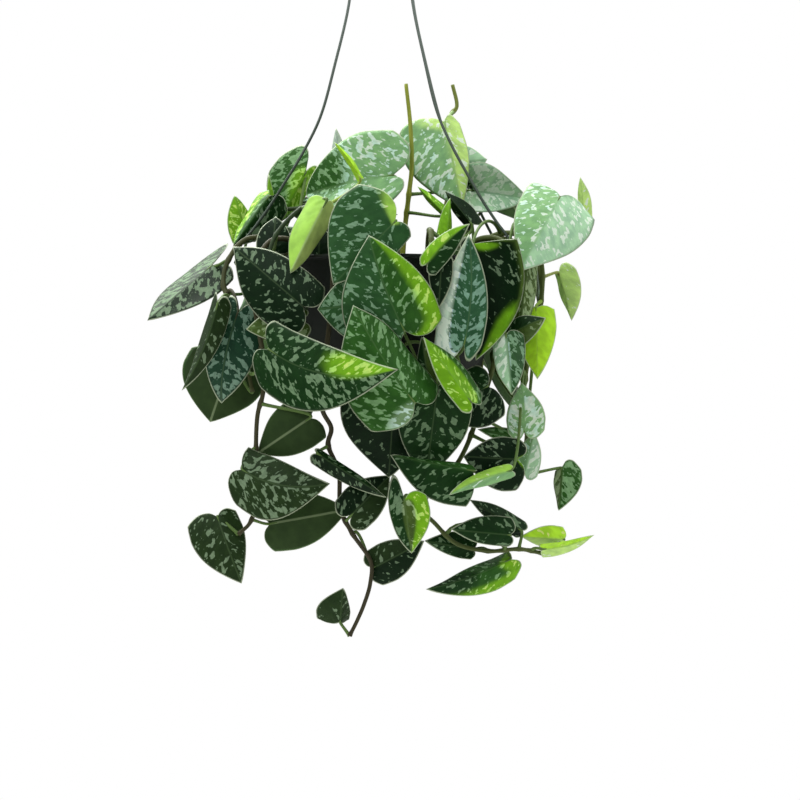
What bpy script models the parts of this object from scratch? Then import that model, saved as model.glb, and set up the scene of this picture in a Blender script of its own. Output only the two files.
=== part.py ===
"""Satin pothos in a hanging pot: dark heart-shaped leaves on trailing stems that grow out of the soil of a
plastic pot, which hangs by three wires from one hook.

All lengths below are in millimetres, measured from the centre of the pot's rim: x to the right, y away from
the viewer, z up. The whole is then hung so that the point on which the hook bears is at the origin."""

import math
import random

import bmesh
import bpy
import numpy as np
from mathutils import Vector
from mathutils.bvhtree import BVHTree

MM = 0.001
SEED = 7

# Where the hook bears, above the rim's centre.
HANG_Z = 362.5

# The eye of the viewer, for whom the leaf places below are read on the plane y = 0.
EYE = np.array([11.9, -1400.0, -101.5])

# Pot.
RIM_TOP = -6.0
RIM_THICK = 2.0
RIM_RADIUS = 98.0
POT_TOP_RADIUS = 88.0
POT_BOTTOM_RADIUS = 62.0
POT_BOTTOM = -106.0
POT_WALL = 2.0
POT_FLOOR = 2.5
POT_SEGMENTS = 36
WIRE_HOLE_AT = 92.5
WIRE_HOLE_RADIUS = 2.7
DRAIN_AT = 38.0
DRAIN_RADIUS = 4.0
DRAIN_COUNT = 5

# Soil.
GAP = 0.3
SOIL_TOP = -18.0
SOIL_CROWN = -15.0
STEM_FOOT = -34.0
HOLE_PLAY = 0.55

# Wires and hook.
WIRE_RADIUS = 1.0
HOOK_RADIUS = 1.5
WIRE_ANGLES = {"wire_right": -31.0, "wire_back": 31.0, "wire_left": 180.0}
EYE_Z = 320.5
EYE_LOOP = 6.0
EYE_X = {"wire_right": 2.8, "wire_back": 0.0, "wire_left": -2.8}
HOOK_STEPS = 16

# The back wire runs a little wider, so that the viewer sees it in line with the right one.
WIDER_AT = (12, 33, 99, 134, 172, 205, 254, 298)
WIDER = (0, 2, 4, 2.6, 1.6, 1.2, 0.8, 0)
HOOK_SIDES = 6

# Leaf blades.
BLADE = 0.8
CLEAR = 1.1
STEM_RADIUS = 2.0
EDGE_AT = (0.0, 0.09, 0.19, 0.32, 0.46, 0.58, 0.70, 0.82, 0.91, 1.0)
EDGE_ALONG = (0.0, -0.77, -1.0, -0.46, 0.10, 0.30, 0.52, 0.72, 0.87, 1.0)
EDGE_OUT = (0.0, 0.20, 0.50, 0.84, 0.99, 1.0, 0.86, 0.58, 0.29, 0.0)
RIB_AT = (0.0, 0.02, 0.05, 0.10, 0.19, 0.31, 0.45, 0.64, 0.82, 1.0)
ROWS_FULL = (0.0, 0.17, 0.33, 0.54, 0.78, 1.0)
ROWS_SMALL = (0.0, 0.19, 0.42, 0.70, 1.0)

# The stems: name, then the points they run through. The first two stand in the soil.
STEMS = (
    ("vine_front", (-8, -58, STEM_FOOT), (-8, -58, -14), (-9, -72, 8), (-8, -94, 8), (-6, -101, -7),
     (-3, -97, -35), (4, -93, -62), (12, -88, -86)),
    ("vine_front_right", (30, -52, STEM_FOOT), (30, -52, -14), (31, -64, 8), (32, -87, 9), (33, -96, -7),
     (34, -90, -34), (41, -84, -62), (50, -79, -92)),
    ("vine_right", (58, -22, STEM_FOOT), (58, -22, -14), (70, -26, 8), (92, -33, 12), (107, -38, -4),
     (108, -38, -34), (100, -36, -70), (96, -34, -104), (99, -33, -130),
     (101, -32, -152)),
    ("vine_right_back", (48, 22, STEM_FOOT), (48, 22, -14), (62, 27, 8), (88, 34, 14), (108, 30, 0),
     (112, 28, -30), (104, 26, -66)),
    ("vine_left", (-58, -22, STEM_FOOT), (-58, -22, -14), (-72, -26, 6), (-92, -33, 9), (-105, -37, -6),
     (-108, -42, -24), (-101, -48, -38), (-94, -48, -66), (-88, -46, -96)),
    ("vine_top_left", (-34, -34, STEM_FOOT), (-34, -34, -14), (-37, -40, 10), (-42, -52, 26), (-54, -66, 26),
     (-70, -77, 8), (-76, -82, -12)),
    ("vine_top_back", (-26, 6, STEM_FOOT), (-26, 6, -14), (-30, 10, 16), (-46, 22, 32), (-74, 32, 34),
     (-98, 30, 18), (-105, 26, -4)),
    ("vine_shoot", (13, -22, STEM_FOOT), (13, -22, -14), (15, -23, 14), (18, -24, 40), (20, -24, 60),
     (19, -24, 88), (16, -24, 116)),
    ("vine_top_right", (36, -4, STEM_FOOT), (36, -4, -14), (40, -2, 16), (46, 4, 44), (50, 8, 74),
     (47, 10, 97), (52, 11, 106), (49, 12, 121)),
    ("trail_left", (-50, -46, STEM_FOOT), (-50, -46, -14), (-58, -54, 4), (-73, -68, 5), (-82, -76, -10),
     (-84, -74, -40), (-79, -62, -76), (-80, -56, -96), (-84, -54, -112), (-85, -54, -134), (-84, -54, -160),
     (-88, -54, -182), (-97, -52, -192)),
    ("trail_centre", (-28, -56, STEM_FOOT), (-28, -56, -14), (-29, -70, 5), (-30, -90, 6), (-31, -98, -8),
     (-33, -91, -40), (-38, -80, -80), (-40, -72, -106), (-34, -66, -120), (-36, -64, -132), (-29, -62, -150),
     (-28, -60, -174), (-20, -60, -191), (-8, -60, -209), (-8, -60, -224), (-12, -58, -238), (-17, -56, -250),
     (-22, -55, -260)),
    ("trail_right", (52, -40, STEM_FOOT), (52, -40, -14), (62, -50, 5), (78, -62, 6), (87, -66, -8),
     (84, -64, -40), (74, -60, -80), (64, -58, -112), (55, -56, -136), (42, -56, -156), (26, -56, -172),
     (36, -57, -185), (50, -58, -198), (71, -56, -203), (92, -52, -202), (108, -49, -205)),
    ("vine_back_left", (-44, 44, STEM_FOOT), (-44, 44, -14), (-54, 54, 8), (-70, 70, 12), (-80, 80, -6),
     (-80, 80, -40), (-74, 74, -74), (-72, 72, -110)),
    ("vine_back", (9, 56, STEM_FOOT), (9, 56, -14), (11, 70, 10), (14, 96, 13), (12, 110, -6),
     (8, 108, -42), (2, 98, -78), (-4, 92, -116)),
    ("vine_back_right", (42, 48, STEM_FOOT), (42, 48, -14), (50, 60, 8), (66, 74, 12), (76, 84, -6),
     (78, 82, -40), (72, 76, -76), (68, 70, -116)),
)

# Leaves as seen: name, stem, then where the stalk joins the blade and where its tip is, each as x and z on the
# plane y = 0 and then the true y. Then the two halves, left and right when looking from stalk to tip: width,
# angle at the midrib, angle at the edge (positive: away from the viewer) and how far its lobe reaches back
# as a share of the length. Last, how far the midrib bows toward the viewer and sways to the left.
LEAVES = (
    ("front_left_big", "vine_left", (-80, -66, -112), (11, -80, -152), (20, 4, 12, .06),
     (27, -6, 10, .13), 4, -10),
    ("front_centre", "vine_front", (22, -103, -123), (-21, -35, -126), (35, -4, 14, .13),
     (28, 34, 62, .1), 4, 2),
    ("bright_fold", "vine_front_right", (62, -103, -112), (28, -57, -114), (10, -12, -20, .1),
     (20, 58, 62, .1), 3, 0),
    ("narrow_vertical", "trail_right", (15, -171, -101), (20, -209, -98), (16, 4, 20, .12),
     (12, 16, 34, .44), 3, 0),
    ("fold_wide", "trail_right", (63, -151, -89), (5, -140, -92), (26, 4, 22, .06), (11, 74, 80, .06), 3, 0),
    ("dark_round", "trail_right", (94, -143, -76), (56, -141, -80), (22, 4, 16, .18), (15, 8, 18, .18), 3, 0),
    ("centre_big", "vine_front", (15, -53, -111), (-10, 14, -117), (33, -2, 8, .12), (28, 6, 20, .12), 4, 2),
    ("front_right_low", "vine_front_right", (38, -93, -99), (30, -157, -71), (25, 6, 20, .13),
     (25, 4, 18, .13), 4, 0),
    ("cupped", "vine_right", (63, 8, -88), (65, -74, -93), (38, 14, -80, .02), (9, -2, -6, .06), -2, 3),
    ("long_silver", "vine_front_right", (57, -62, -101), (60, 15, -97), (21, 8, 16, .16),
     (12, -6, -16, .16), 2, -3),
    ("right_edge_green", "vine_front_right", (31, -6, -108), (61, 22, -103), (7, 10, 30, .1),
     (10, 10, 20, .1), 2, 2),
    ("gap_inner_right", "vine_front_right", (41, -3, -101), (39, -38, -102), (8, 2, 4, .1),
     (8, 2, 4, .1), 1, 0),
    ("olive_fold", "vine_front", (43, -66, -100), (36, -30, -96), (9, 40, 60, .1), (12, 66, 70, .1), 3, -3),
    ("dark_fold", "vine_front", (33, -96, -112), (27, -57, -108), (9, 30, 40, .1), (12, 20, 40, .1), 2, 0),
    ("dark_centre", "vine_front", (8, -96, -86), (4, -156, -68), (26, 10, 20, .14), (36, 6, 24, .12), 4, 0),
    ("centre_left", "vine_front", (-8, -34, -106), (-46, -38, -103), (24, 2, 8, .08), (20, 2, 8, .08), 1, 0),
    ("curled_lobe", "vine_front", (9, 24, -102), (-35, -21, -109), (15, 4, 10, .05), (36, -2, 10, .16), 3, 0),
    ("pale_back", "vine_top_left", (-40, 37, -83), (-65, -13, -99), (18, 60, 70, .1),
     (18, 30, 56, .08), 3, 0),
    ("dark_left", "vine_left", (-56, -36, -106), (-105, 6, -80), (25, 8, 20, .12), (20, 4, 24, .10), 5, 0),
    ("below_dark", "vine_left", (-58, -46, -90), (-96, -52, -84), (13, 8, 20, .16), (11, 8, 20, .16), 3, 0),
    ("left_edge", "vine_left", (-116, -34, -84), (-141, -95, -78), (12, 36, 46, .1), (12, 60, 66, .1), 2, 3),
    ("left_blue", "vine_left", (-102, -41, -66), (-113, -104, -42), (21, 4, 16, .12),
     (16, 4, 14, .14), 10, -2),
    ("left_under", "vine_left", (-106, -75, -30), (-121, -117, -30), (27, 10, 20, .12),
     (32, 6, 16, .12), 4, 0),
    ("far_left", "vine_left", (-121, -8, -24), (-165, -46, -52), (22, -28, -34, .14),
     (25, 62, 64, .45), 1, 0),
    ("left_folded", "vine_top_back", (-80, 41, 8), (-105, 6, 6), (20, 30, 44, .14), (18, 60, 66, .1), 2, 0),
    ("top_left_lobed", "vine_top_back", (-54, 58, 16), (-73, 21, 14), (14, 56, 62, .2),
     (24, 6, 16, .42), 3, 0),
    ("edge_on", "vine_top_back", (-73, 4, 6), (-80, 57, 6), (8, 54, 60, .08), (8, 54, 60, .08), 1, 1),
    ("left_small", "vine_top_back", (-95, 12, 20), (-104, 42, 20), (12, 6, 16, .12), (12, 46, 54, .12), 2, 0),
    ("top_left_big", "vine_top_left", (7, 56, -34), (-54, 42, 2), (24, -30, -40, .1),
     (34, 8, 20, .14), 13, 0),
    ("top_left_behind", "vine_top_back", (-30, 58, 20), (-33, 89, 16), (9, 50, 60, .1),
     (9, 50, 60, .1), 2, 0),
    ("rolled_young", "vine_top_left", (-16, 54, -52), (-34, 79, -50), (10, 72, 80, .04),
     (10, 70, 84, .04), 2, -1),
    ("top_big", "vine_top_right", (43, 93, -6), (56, 31, -24), (14, 26, 40, .1), (34, 4, 14, .12), 4, 0),
    ("top_right_small", "vine_top_right", (44, 64, 36), (73, 67, 34), (15, 20, 30, .1),
     (17, 14, 20, .1), 2, 0),
    ("top_right_fold", "vine_shoot", (62, 45, -8), (102, 39, -22), (24, -40, -44, .12),
     (19, -30, -36, .2), 2, 0),
    ("right_big", "vine_right", (124, 41, -38), (95, -12, -80), (30, 4, 14, .13), (24, 8, 20, .1), 7, 0),
    ("right_curl", "vine_right_back", (141, 26, 2), (138, 55, -2), (7, 60, 70, .1), (8, 30, 40, .1), 1, 0),
    ("green_spike", "vine_front_right", (45, 12, -62), (47, 40, -54), (10, 40, 50, .1),
     (8, 70, 74, .1), 2, 0),
    ("green_strip", "vine_shoot", (42, 30, -42), (24, 48, -36), (9, 76, 80, .1), (11, 62, 66, .1), 1, 0),
    ("dark_behind", "vine_front_right", (62, 22, -52), (43, 45, -46), (10, 62, 66, .1),
     (16, 54, 60, .1), 1, 0),
    ("gap_top", "vine_top_left", (-45, -3, -64), (-44, 21, -53), (11, 4, 12, .1), (11, 4, 12, .1), 2, 0),
    ("gap_inner_left", "vine_top_left", (-77, 4, -56), (-75, 27, -46), (12, 6, 14, .1),
     (12, 6, 14, .1), 2, 0),
    ("streaked", "vine_right", (101, -3, -62), (94, -66, -68), (14, 46, 56, .08), (14, 46, 56, .08), 2, 0),
    ("long_pale", "vine_right", (86, -56, -93), (90, -98, -98), (16, 34, 44, .1), (12, 30, 44, .08), 2, 0),
    ("dark_hook", "vine_right", (88, -57, -77), (114, -44, -82), (11, 36, 50, .1), (13, -30, -40, .1), 2, 1),
    ("lime", "vine_right", (107, -37, -58), (108, -87, -64), (15, 16, 34, .04), (15, 20, 34, .06), 3, 0),
    ("pale_hanging", "vine_right", (123, -13, -14), (132, -46, -20), (14, 10, 24, .22),
     (9, 72, 80, .05), 2, 0),
    ("behind_low_right", "vine_front_right", (73, -92, -72), (38, -112, -74), (24, 6, 16, .14),
     (17, 6, 16, .14), 3, 0),
    ("white_mottled", "vine_right", (99, -124, -56), (97, -89, -62), (12, 10, 20, .17),
     (15, 8, 20, .17), 4, 0),
    ("strip_behind", "trail_right", (92, -127, -50), (66, -122, -54), (5, 10, 20, .1), (5, 10, 20, .1), 1, 0),
    ("silver_behind", "vine_right", (99, -153, -34), (106, -124, -38), (10, 20, 30, .1),
     (10, 12, 24, .14), 2, 0),
    ("small_far_right", "vine_right", (125, -149, -22), (123, -179, -30), (15, 6, 20, .26),
     (12, 70, 74, .06), 3, 0),
    ("rolled_pale", "vine_right", (90, -151, -90), (46, -168, -98), (12, 58, 66, .06),
     (9, 40, 74, .06), 2, -2),
    ("right_dark", "trail_right", (89, -196, -66), (47, -192, -74), (9, 12, 30, .08), (13, 18, 30, .1), 2, 0),
    ("right_dark_low", "trail_right", (63, -206, -56), (29, -200, -60), (8, 12, 30, .08),
     (11, 18, 30, .08), 2, 0),
    ("right_dark_diag", "trail_right", (97, -193, -52), (60, -171, -56), (9, 44, 50, .08),
     (11, 48, 54, .08), 1, 0),
    ("bright_young", "trail_right", (127, -199, -36), (96, -197, -46), (8, 30, 40, .06),
     (10, 24, 36, .06), 2, 0),
    ("rolled_far", "trail_right", (112, -206, -50), (148, -196, -44), (7, 50, 70, .04),
     (9, 56, 40, .04), 0, -2),
    ("bottom_green", "trail_right", (89, -213, -50), (30, -234, -62), (17, 18, 34, .12),
     (14, 66, 72, .05), 3, 2),
    ("left_trail_big", "trail_left", (-99, -150, -64), (-37, -160, -78), (18, 16, 34, .02),
     (26, -6, 14, .14), 5, -6),
    ("left_heart", "trail_left", (-116, -183, -50), (-99, -230, -56), (15, 20, 34, .07),
     (23, 4, 18, .12), 4, 0),
    ("left_back_pale", "trail_left", (-79, -188, -42), (-24, -178, -40), (20, 10, 20, .08),
     (21, 8, 14, .1), 4, 0),
    ("left_back_dark", "trail_left", (-51, -114, -62), (-88, -139, -50), (18, 10, 20, .08),
     (18, 8, 14, .14), 3, 0),
    ("narrow_diag", "trail_centre", (-46, -139, -74), (3, -170, -78), (6, 50, 60, .06),
     (10, 30, 42, .06), 3, 0),
    ("dark_low_centre", "trail_centre", (-22, -182, -67), (5, -154, -59), (15, 2, 10, .16),
     (14, 2, 8, .16), 2, 0),
    ("low_centre", "trail_centre", (-7, -219, -64), (29, -200, -70), (13, 12, 24, .1),
     (15, 6, 20, .12), 3, 0),
    ("low_small", "trail_centre", (-30, -257, -52), (-28, -233, -58), (17, 6, 14, .08),
     (9, 44, 56, .06), 2, 0),
)

# These turn their undersides to the viewer.
UNDERSIDE = ("pale_back", "left_under", "left_back_pale", "left_back_dark")

# How far a leaf may move along the line of sight to clear what is already there. The table runs from front to
# back in each part of the plant, so that a later leaf moves away from the viewer first.
SHIFTS = (0, 3, 6, -3, 9, 13, -6, 17, 22, 27, -9, 33, 40, -13, -17, -22, -27, -33, -40)

# Leaves that no one sees from the front, placed by a rule round the sides and the back: the stem, how many,
# between which shares of the stem; then, as a middle and a spread in degrees, the way the stalk goes and the
# way the blade faces; then, as ranges, how far the stalk goes out and up, and how steeply the blade falls.
HIDDEN = (
    ("vine_back_left", 4, (0.05, 0.25), (180, 120), (150, 100), (10, 42), (22, 64), (-20, 50)),
    ("vine_back", 4, (0.05, 0.25), (150, 120), (120, 100), (10, 42), (22, 64), (-20, 50)),
    ("vine_back_right", 4, (0.05, 0.25), (90, 120), (60, 100), (10, 42), (22, 64), (-20, 50)),
    ("vine_back_left", 6, (0.38, 0.98), (140, 70), (140, 40), (14, 44), (0, 26), (20, 85)),
    ("vine_back", 6, (0.38, 0.98), (90, 70), (90, 40), (14, 44), (0, 26), (20, 85)),
    ("vine_back_right", 6, (0.38, 0.98), (50, 70), (50, 40), (14, 44), (0, 26), (20, 85)),
    ("vine_right_back", 4, (0.30, 0.98), (80, 70), (25, 30), (8, 30), (-5, 20), (35, 85)),
    ("vine_right", 4, (0.28, 0.70), (85, 22), (5, 25), (24, 60), (-5, 20), (45, 85)),
    ("vine_left", 5, (0.28, 0.80), (98, 22), (180, 25), (24, 78), (-5, 20), (45, 85)),
)
ROWS_HIDDEN = (0.0, 0.22, 0.60, 1.0)
DRAWS = 200

# To join the pieces of a node: how near two points may be, how far each is moved, and how many tries.
WELD = 0.0003
HAIR = 0.02
TRIES = 12

# What the front leaves cover, as x and z on the plane y = 0: the hidden leaves stay behind it.
COVER = (
    (-98, 0), (-78, 26), (-60, 62), (-47, 52), (-38, 76), (-18, 84), (4, 76), (12, 66), (13, 40), (16, 10),
    (30, -6), (44, 14), (47, 36), (44, 50), (24, 66), (24, 84), (40, 88), (56, 60), (66, 62), (84, 54),
    (96, 44), (84, 36), (60, 32), (62, 8), (84, -2), (93, 2), (95, 30), (100, 50), (120, 52), (126, 36),
    (118, 4), (104, -12), (114, -50), (104, -78), (98, -88), (108, -112), (98, -127), (88, -100), (78, -112), (60, -124),
    (30, -142), (5, -148), (-28, -116), (-40, -106), (-75, -102), (-92, -100), (-118, -104), (-124, -80),
    (-116, -50), (-100, -38),
)

GREEN = (0.045, 0.13, 0.045, 1.0)
POT_COLOUR = (0.012, 0.02, 0.014, 1.0)
SOIL_COLOUR = (0.03, 0.018, 0.01, 1.0)
STEEL = (0.42, 0.44, 0.45, 1.0)


def sight(x, z, depth):
    """The point at this depth that the viewer sees at x, z on the plane y = 0."""
    seen = np.array([x, 0.0, z])
    return EYE + (seen - EYE) * (depth - EYE[1]) / -EYE[1]


def curve_through(points, steps):
    """Points of a smooth curve through the given ones, this many for each span."""
    p = np.array(points, float)
    p = np.vstack([2 * p[0] - p[1], p, 2 * p[-1] - p[-2]])
    out = []
    for i in range(1, len(p) - 2):
        for k in range(steps):
            t = k / steps
            a, b, c, d = p[i - 1], p[i], p[i + 1], p[i + 2]
            even = 2 * b + (c - a) * t + (2 * a - 5 * b + 4 * c - d) * t**2
            out.append(0.5 * (even + (3 * b - a - 3 * c + d) * t**3))
    out.append(p[-2])
    return np.array(out)


def unit(v):
    return v / np.linalg.norm(v, axis=-1, keepdims=True)


def tube(points, radii, sides, twist=0.0):
    """A closed round bar along the points."""
    points = np.array(points, float)
    radii = np.broadcast_to(np.array(radii, float), (len(points),))
    along = unit(np.gradient(points, axis=0))
    across = np.cross(along[0], (0.0, 0.3, 1.0) if abs(along[0][2]) < 0.8 else (1.0, 0.2, 0.0))
    verts = []
    for at, way, radius in zip(points, along, radii):
        across = unit(across - way * across.dot(way))
        other = np.cross(way, across)
        for k in range(sides):
            turn = 2 * math.pi * k / sides + twist
            verts.append(at + radius * (math.cos(turn) * across + math.sin(turn) * other))
    faces = [tuple(reversed(range(sides)))]
    for i in range(len(points) - 1):
        for k in range(sides):
            a = i * sides + k
            b = i * sides + (k + 1) % sides
            faces.append((a, b, b + sides, a + sides))
    last = (len(points) - 1) * sides
    faces.append(tuple(last + k for k in range(sides)))
    return verts, faces


def lathe(profile, segments):
    """A closed ring or disc: the profile's (radius, z) points turned round the z axis."""
    verts = []
    rings = []
    for radius, z in profile:
        if radius == 0:
            rings.append([len(verts)])
            verts.append((0.0, 0.0, z))
            continue
        rings.append(list(range(len(verts), len(verts) + segments)))
        for k in range(segments):
            turn = 2 * math.pi * k / segments
            verts.append((radius * math.cos(turn), radius * math.sin(turn), z))
    faces = []
    for lower, upper in zip(rings, rings[1:] + rings[:1]):
        for k in range(segments):
            n = (k + 1) % segments
            if len(lower) == 1 and len(upper) == 1:
                break
            if len(lower) == 1:
                faces.append((lower[0], upper[n], upper[k]))
            elif len(upper) == 1:
                faces.append((lower[k], lower[n], upper[0]))
            else:
                faces.append((lower[k], lower[n], upper[n], upper[k]))
    return verts, faces


def half_width(share, width, first, last):
    """How far out and how far back a half of the blade is at this share of its width, from its two angles."""
    steps = np.linspace(0.0, 1.0, 25)
    angles = np.radians(first + (last - first) * steps)
    out = np.concatenate([[0.0], np.cumsum(np.cos((angles[1:] + angles[:-1]) / 2))]) / 24
    back = np.concatenate([[0.0], np.cumsum(np.sin((angles[1:] + angles[:-1]) / 2))]) / 24
    return width * np.interp(share, steps, out), width * np.interp(share, steps, back)


def blade(leaf, shift, rows, columns):
    """The middle sheet of a leaf: rows from stalk to tip, columns from its left edge to its right."""
    base_at, tip_at, left, right, bow, sway = leaf
    base = sight(base_at[0], base_at[1], base_at[2] + shift)
    tip = sight(tip_at[0], tip_at[1], tip_at[2] + shift)
    chord = tip - base
    side = unit(np.array([-chord[2], 0.0, chord[0]]))
    toward = unit(np.array([0.0, -1.0, 0.0]) + chord * chord[1] / chord.dot(chord))
    rows = np.array(rows)
    share = np.linspace(-1.0, 1.0, columns)
    grid = np.zeros((len(rows), columns, 3))
    for i, v in enumerate(rows):
        along = np.interp(v, EDGE_AT, EDGE_ALONG)
        out = np.interp(v, EDGE_AT, EDGE_OUT)
        rib = np.interp(v, EDGE_AT, RIB_AT)
        for j, u in enumerate(share):
            width, first, last, lobe = left if u < 0 else right
            edge = along * lobe if along < 0 else along
            at = rib + (edge - rib) * abs(u)
            arc = 4 * at * (1 - at)
            point = base + chord * at + toward * bow * arc + side * sway * arc
            aside, back = half_width(abs(u) * out, width, first, last)
            grid[i, j] = point + side * aside * (1 if u < 0 else -1) - toward * back
    return grid


def blade_solid(grid, thick):
    """The blade as a closed sheet of this thickness, split into triangles alike on both faces."""
    rows, columns = grid.shape[:2]
    down = np.gradient(grid, axis=0)
    over = np.gradient(grid, axis=1)
    over[0] = over[1]
    over[-1] = over[-2]
    normal = unit(np.cross(over, down))
    normal[0] = unit(normal[1].mean(axis=0))
    normal[-1] = unit(normal[-2].mean(axis=0))
    verts = []
    where = {}
    for side, sign in ((0, 0.5), (1, -0.5)):
        for i in range(rows):
            for j in range(columns):
                if i in (0, rows - 1) and j:
                    where[side, i, j] = where[side, i, 0]
                    continue
                where[side, i, j] = len(verts)
                verts.append(grid[i, j] + normal[i, j] * thick * sign)
    faces = []
    for i in range(rows - 1):
        for j in range(columns - 1):
            corners = ((i, j), (i, j + 1), (i + 1, j + 1), (i + 1, j))
            split = ((0, 1, 2), (0, 2, 3)) if j < (columns - 1) / 2 else ((0, 1, 3), (1, 2, 3))
            for triple in split:
                top = [where[(0,) + corners[k]] for k in triple]
                under = [where[(1,) + corners[k]] for k in triple]
                if len(set(top)) == 3:
                    faces.append(tuple(reversed(top)))
                    faces.append(tuple(under))
    for j in (0, columns - 1):
        for i in range(rows - 1):
            a, b = where[0, i, j], where[0, i + 1, j]
            c, d = where[1, i + 1, j], where[1, i, j]
            ring = (a, b, c, d) if j == 0 else (d, c, b, a)
            faces.append((ring[0], ring[1], ring[2]))
            faces.append((ring[0], ring[2], ring[3]))
    return verts, faces


def back_blade(base, tip, width, rows, columns, cup):
    """The middle sheet of a leaf that faces up and out, its halves bent down by this angle."""
    chord = tip - base
    side = unit(np.cross(chord, (0.0, 0.0, 1.0)))
    toward = unit(np.cross(side, chord))
    grid = np.zeros((len(rows), columns, 3))
    for i, v in enumerate(rows):
        along = np.interp(v, EDGE_AT, EDGE_ALONG)
        out = np.interp(v, EDGE_AT, EDGE_OUT)
        rib = np.interp(v, EDGE_AT, RIB_AT)
        for j, u in enumerate(np.linspace(-1.0, 1.0, columns)):
            edge = along * 0.14 if along < 0 else along
            at = rib + (edge - rib) * abs(u)
            aside, back = half_width(abs(u) * out, width, cup, cup + 14)
            point = base + chord * at + toward * 16 * at * (1 - at)
            grid[i, j] = point + side * aside * (1 if u > 0 else -1) - toward * back
    return grid


class Solid:
    """A closed surface, what it belongs to, and a tree to find what crosses it."""

    def __init__(self, verts, faces, node):
        self.verts = np.array(verts, float)
        self.faces = faces
        self.node = node
        self.low = self.verts.min(axis=0)
        self.high = self.verts.max(axis=0)
        self.tree = BVHTree.FromPolygons([Vector(v) for v in self.verts], faces)

    def crosses(self, other):
        if (self.low > other.high).any() or (self.high < other.low).any():
            return 0
        return len(self.tree.overlap(other.tree))


def score(solid, placed):
    """What this solid crosses: faces of other nodes first, then faces of its own."""
    foreign = 0
    own = 0
    for other in placed:
        count = solid.crosses(other)
        if other.node == solid.node:
            own += count
        else:
            foreign += count
    return foreign, own


def stem_line(points, steps):
    """Straight up through the soil, then a smooth curve."""
    return np.vstack([points[0], curve_through(points[1:], steps)])


def stem_solid(line, extra=0.0):
    """A stem, thinner toward its end."""
    shares = np.linspace(0.0, 1.0, len(line))
    return tube(line, STEM_RADIUS * (1.0 - 0.35 * shares) + extra, 5)


def grid_of(row, shift, fine=1):
    """A leaf's middle sheet, coarse or with each step split in so many."""
    small = row["length"] < 45 or "seen" not in row
    rows = ROWS_SMALL if small else ROWS_FULL
    if "seen" not in row:
        rows = ROWS_HIDDEN
    columns = 2 if small else 4
    if fine > 1:
        rows = np.interp(np.linspace(0, len(rows) - 1, (len(rows) - 1) * fine + 1), range(len(rows)), rows)
        columns *= fine
    if "seen" in row:
        return blade(row["seen"], shift, rows, columns + 1)
    return back_blade(row["base"], row["tip"], row["width"], rows, columns + 1, row["cup"])


def stalk_line(row, shift, start, lift):
    """A leaf's stalk: out of its stem at start, then along the underside of the midrib into the blade."""
    if "seen" in row:
        grid = blade(row["seen"], shift, (0.0, 0.15, 0.30), 3)
    else:
        grid = back_blade(row["base"], row["tip"], row["width"], (0.0, 0.15, 0.30), 3, row["cup"])
    base, inside = grid[0, 1], grid[2, 1]
    along = unit(inside - base)
    under = unit(np.cross(along, grid[2, 2] - grid[2, 0]))
    if "seen" in row:
        away = under[1] > 0
        under = under if away != row["turned"] else -under
    else:
        under = under if under[2] < 0 else -under
    span = np.linalg.norm(base - start)
    second = start + (base - start) * 0.35 + np.array([0.0, 0.0, lift]) * span
    third = base - along * span * 0.20 + under * span * 0.22
    end = base + under * 0.4
    line = []
    for t in (0.0, 0.3, 0.65, 1.0):
        s = 1 - t
        line.append(s**3 * start + 3 * s * s * t * second + 3 * s * t * t * third + t**3 * end)
    line.append(inside + under * 0.2)
    return np.array(line)


def stalk_solid(line, extra, node, twist=0.0, sides=4):
    radii = np.interp(np.linspace(0, 1, len(line)), (0, 0.4, 1), (1.3, 1.1, 0.8)) + extra
    return Solid(*tube(line, radii, sides, twist), node)


def inside_cover(points):
    """Whether all these points are seen within COVER."""
    scale = -EYE[1] / (points[:, 1] - EYE[1])
    seen = EYE + (points - EYE) * scale[:, None]
    ring = np.array(COVER, float)
    ahead = np.roll(ring, -1, axis=0)
    for x, z in seen[:, [0, 2]]:
        between = (ring[:, 1] > z) != (ahead[:, 1] > z)
        cut = ring[:, 0] + (z - ring[:, 1]) * (ahead[:, 0] - ring[:, 0]) / (ahead[:, 1] - ring[:, 1] + 1e-9)
        if (between & (x < cut)).sum() % 2 == 0:
            return False
    return True


def place_blade(row, placed):
    """The shift along the line of sight at which this leaf crosses least."""
    best = None
    for shift in SHIFTS:
        solid = Solid(*blade_solid(grid_of(row, shift), BLADE + CLEAR), row["node"])
        found = score(solid, placed)
        if best is None or found < best[0]:
            best = (found, shift, solid)
        if found == (0, 0):
            break
    return best


def place_stalk(row, shift, line, placed, skip):
    """The way from the stem to this leaf that crosses least."""
    others = [solid for solid in placed if solid is not skip]
    base = grid_of(row, shift)[0, 0]
    starts = sorted(line[4:], key=lambda p: np.linalg.norm(p - base))
    best = None
    for start in starts[:10]:
        if np.linalg.norm(start - base) < 9:
            continue
        for lift in (0.0, 0.3, -0.25, 0.6):
            way = stalk_line(row, shift, start, lift)
            found = score(stalk_solid(way, GAP + 0.1, row["node"]), others)
            if best is None or found < best[0]:
                best = (found, way)
            if found[0] == 0 and found[1] <= 12:
                return best
    return best


def seen_rows():
    """The leaves of the table, ready to be placed."""
    rows = []
    for name, node, base, tip, left, right, bow, sway in LEAVES:
        seen = (base, tip, left, right, bow, sway)
        length = np.linalg.norm(sight(*base) - sight(*tip))
        rows.append({"name": name, "node": node, "seen": seen, "length": length, "turned": name in UNDERSIDE})
    return rows


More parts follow.
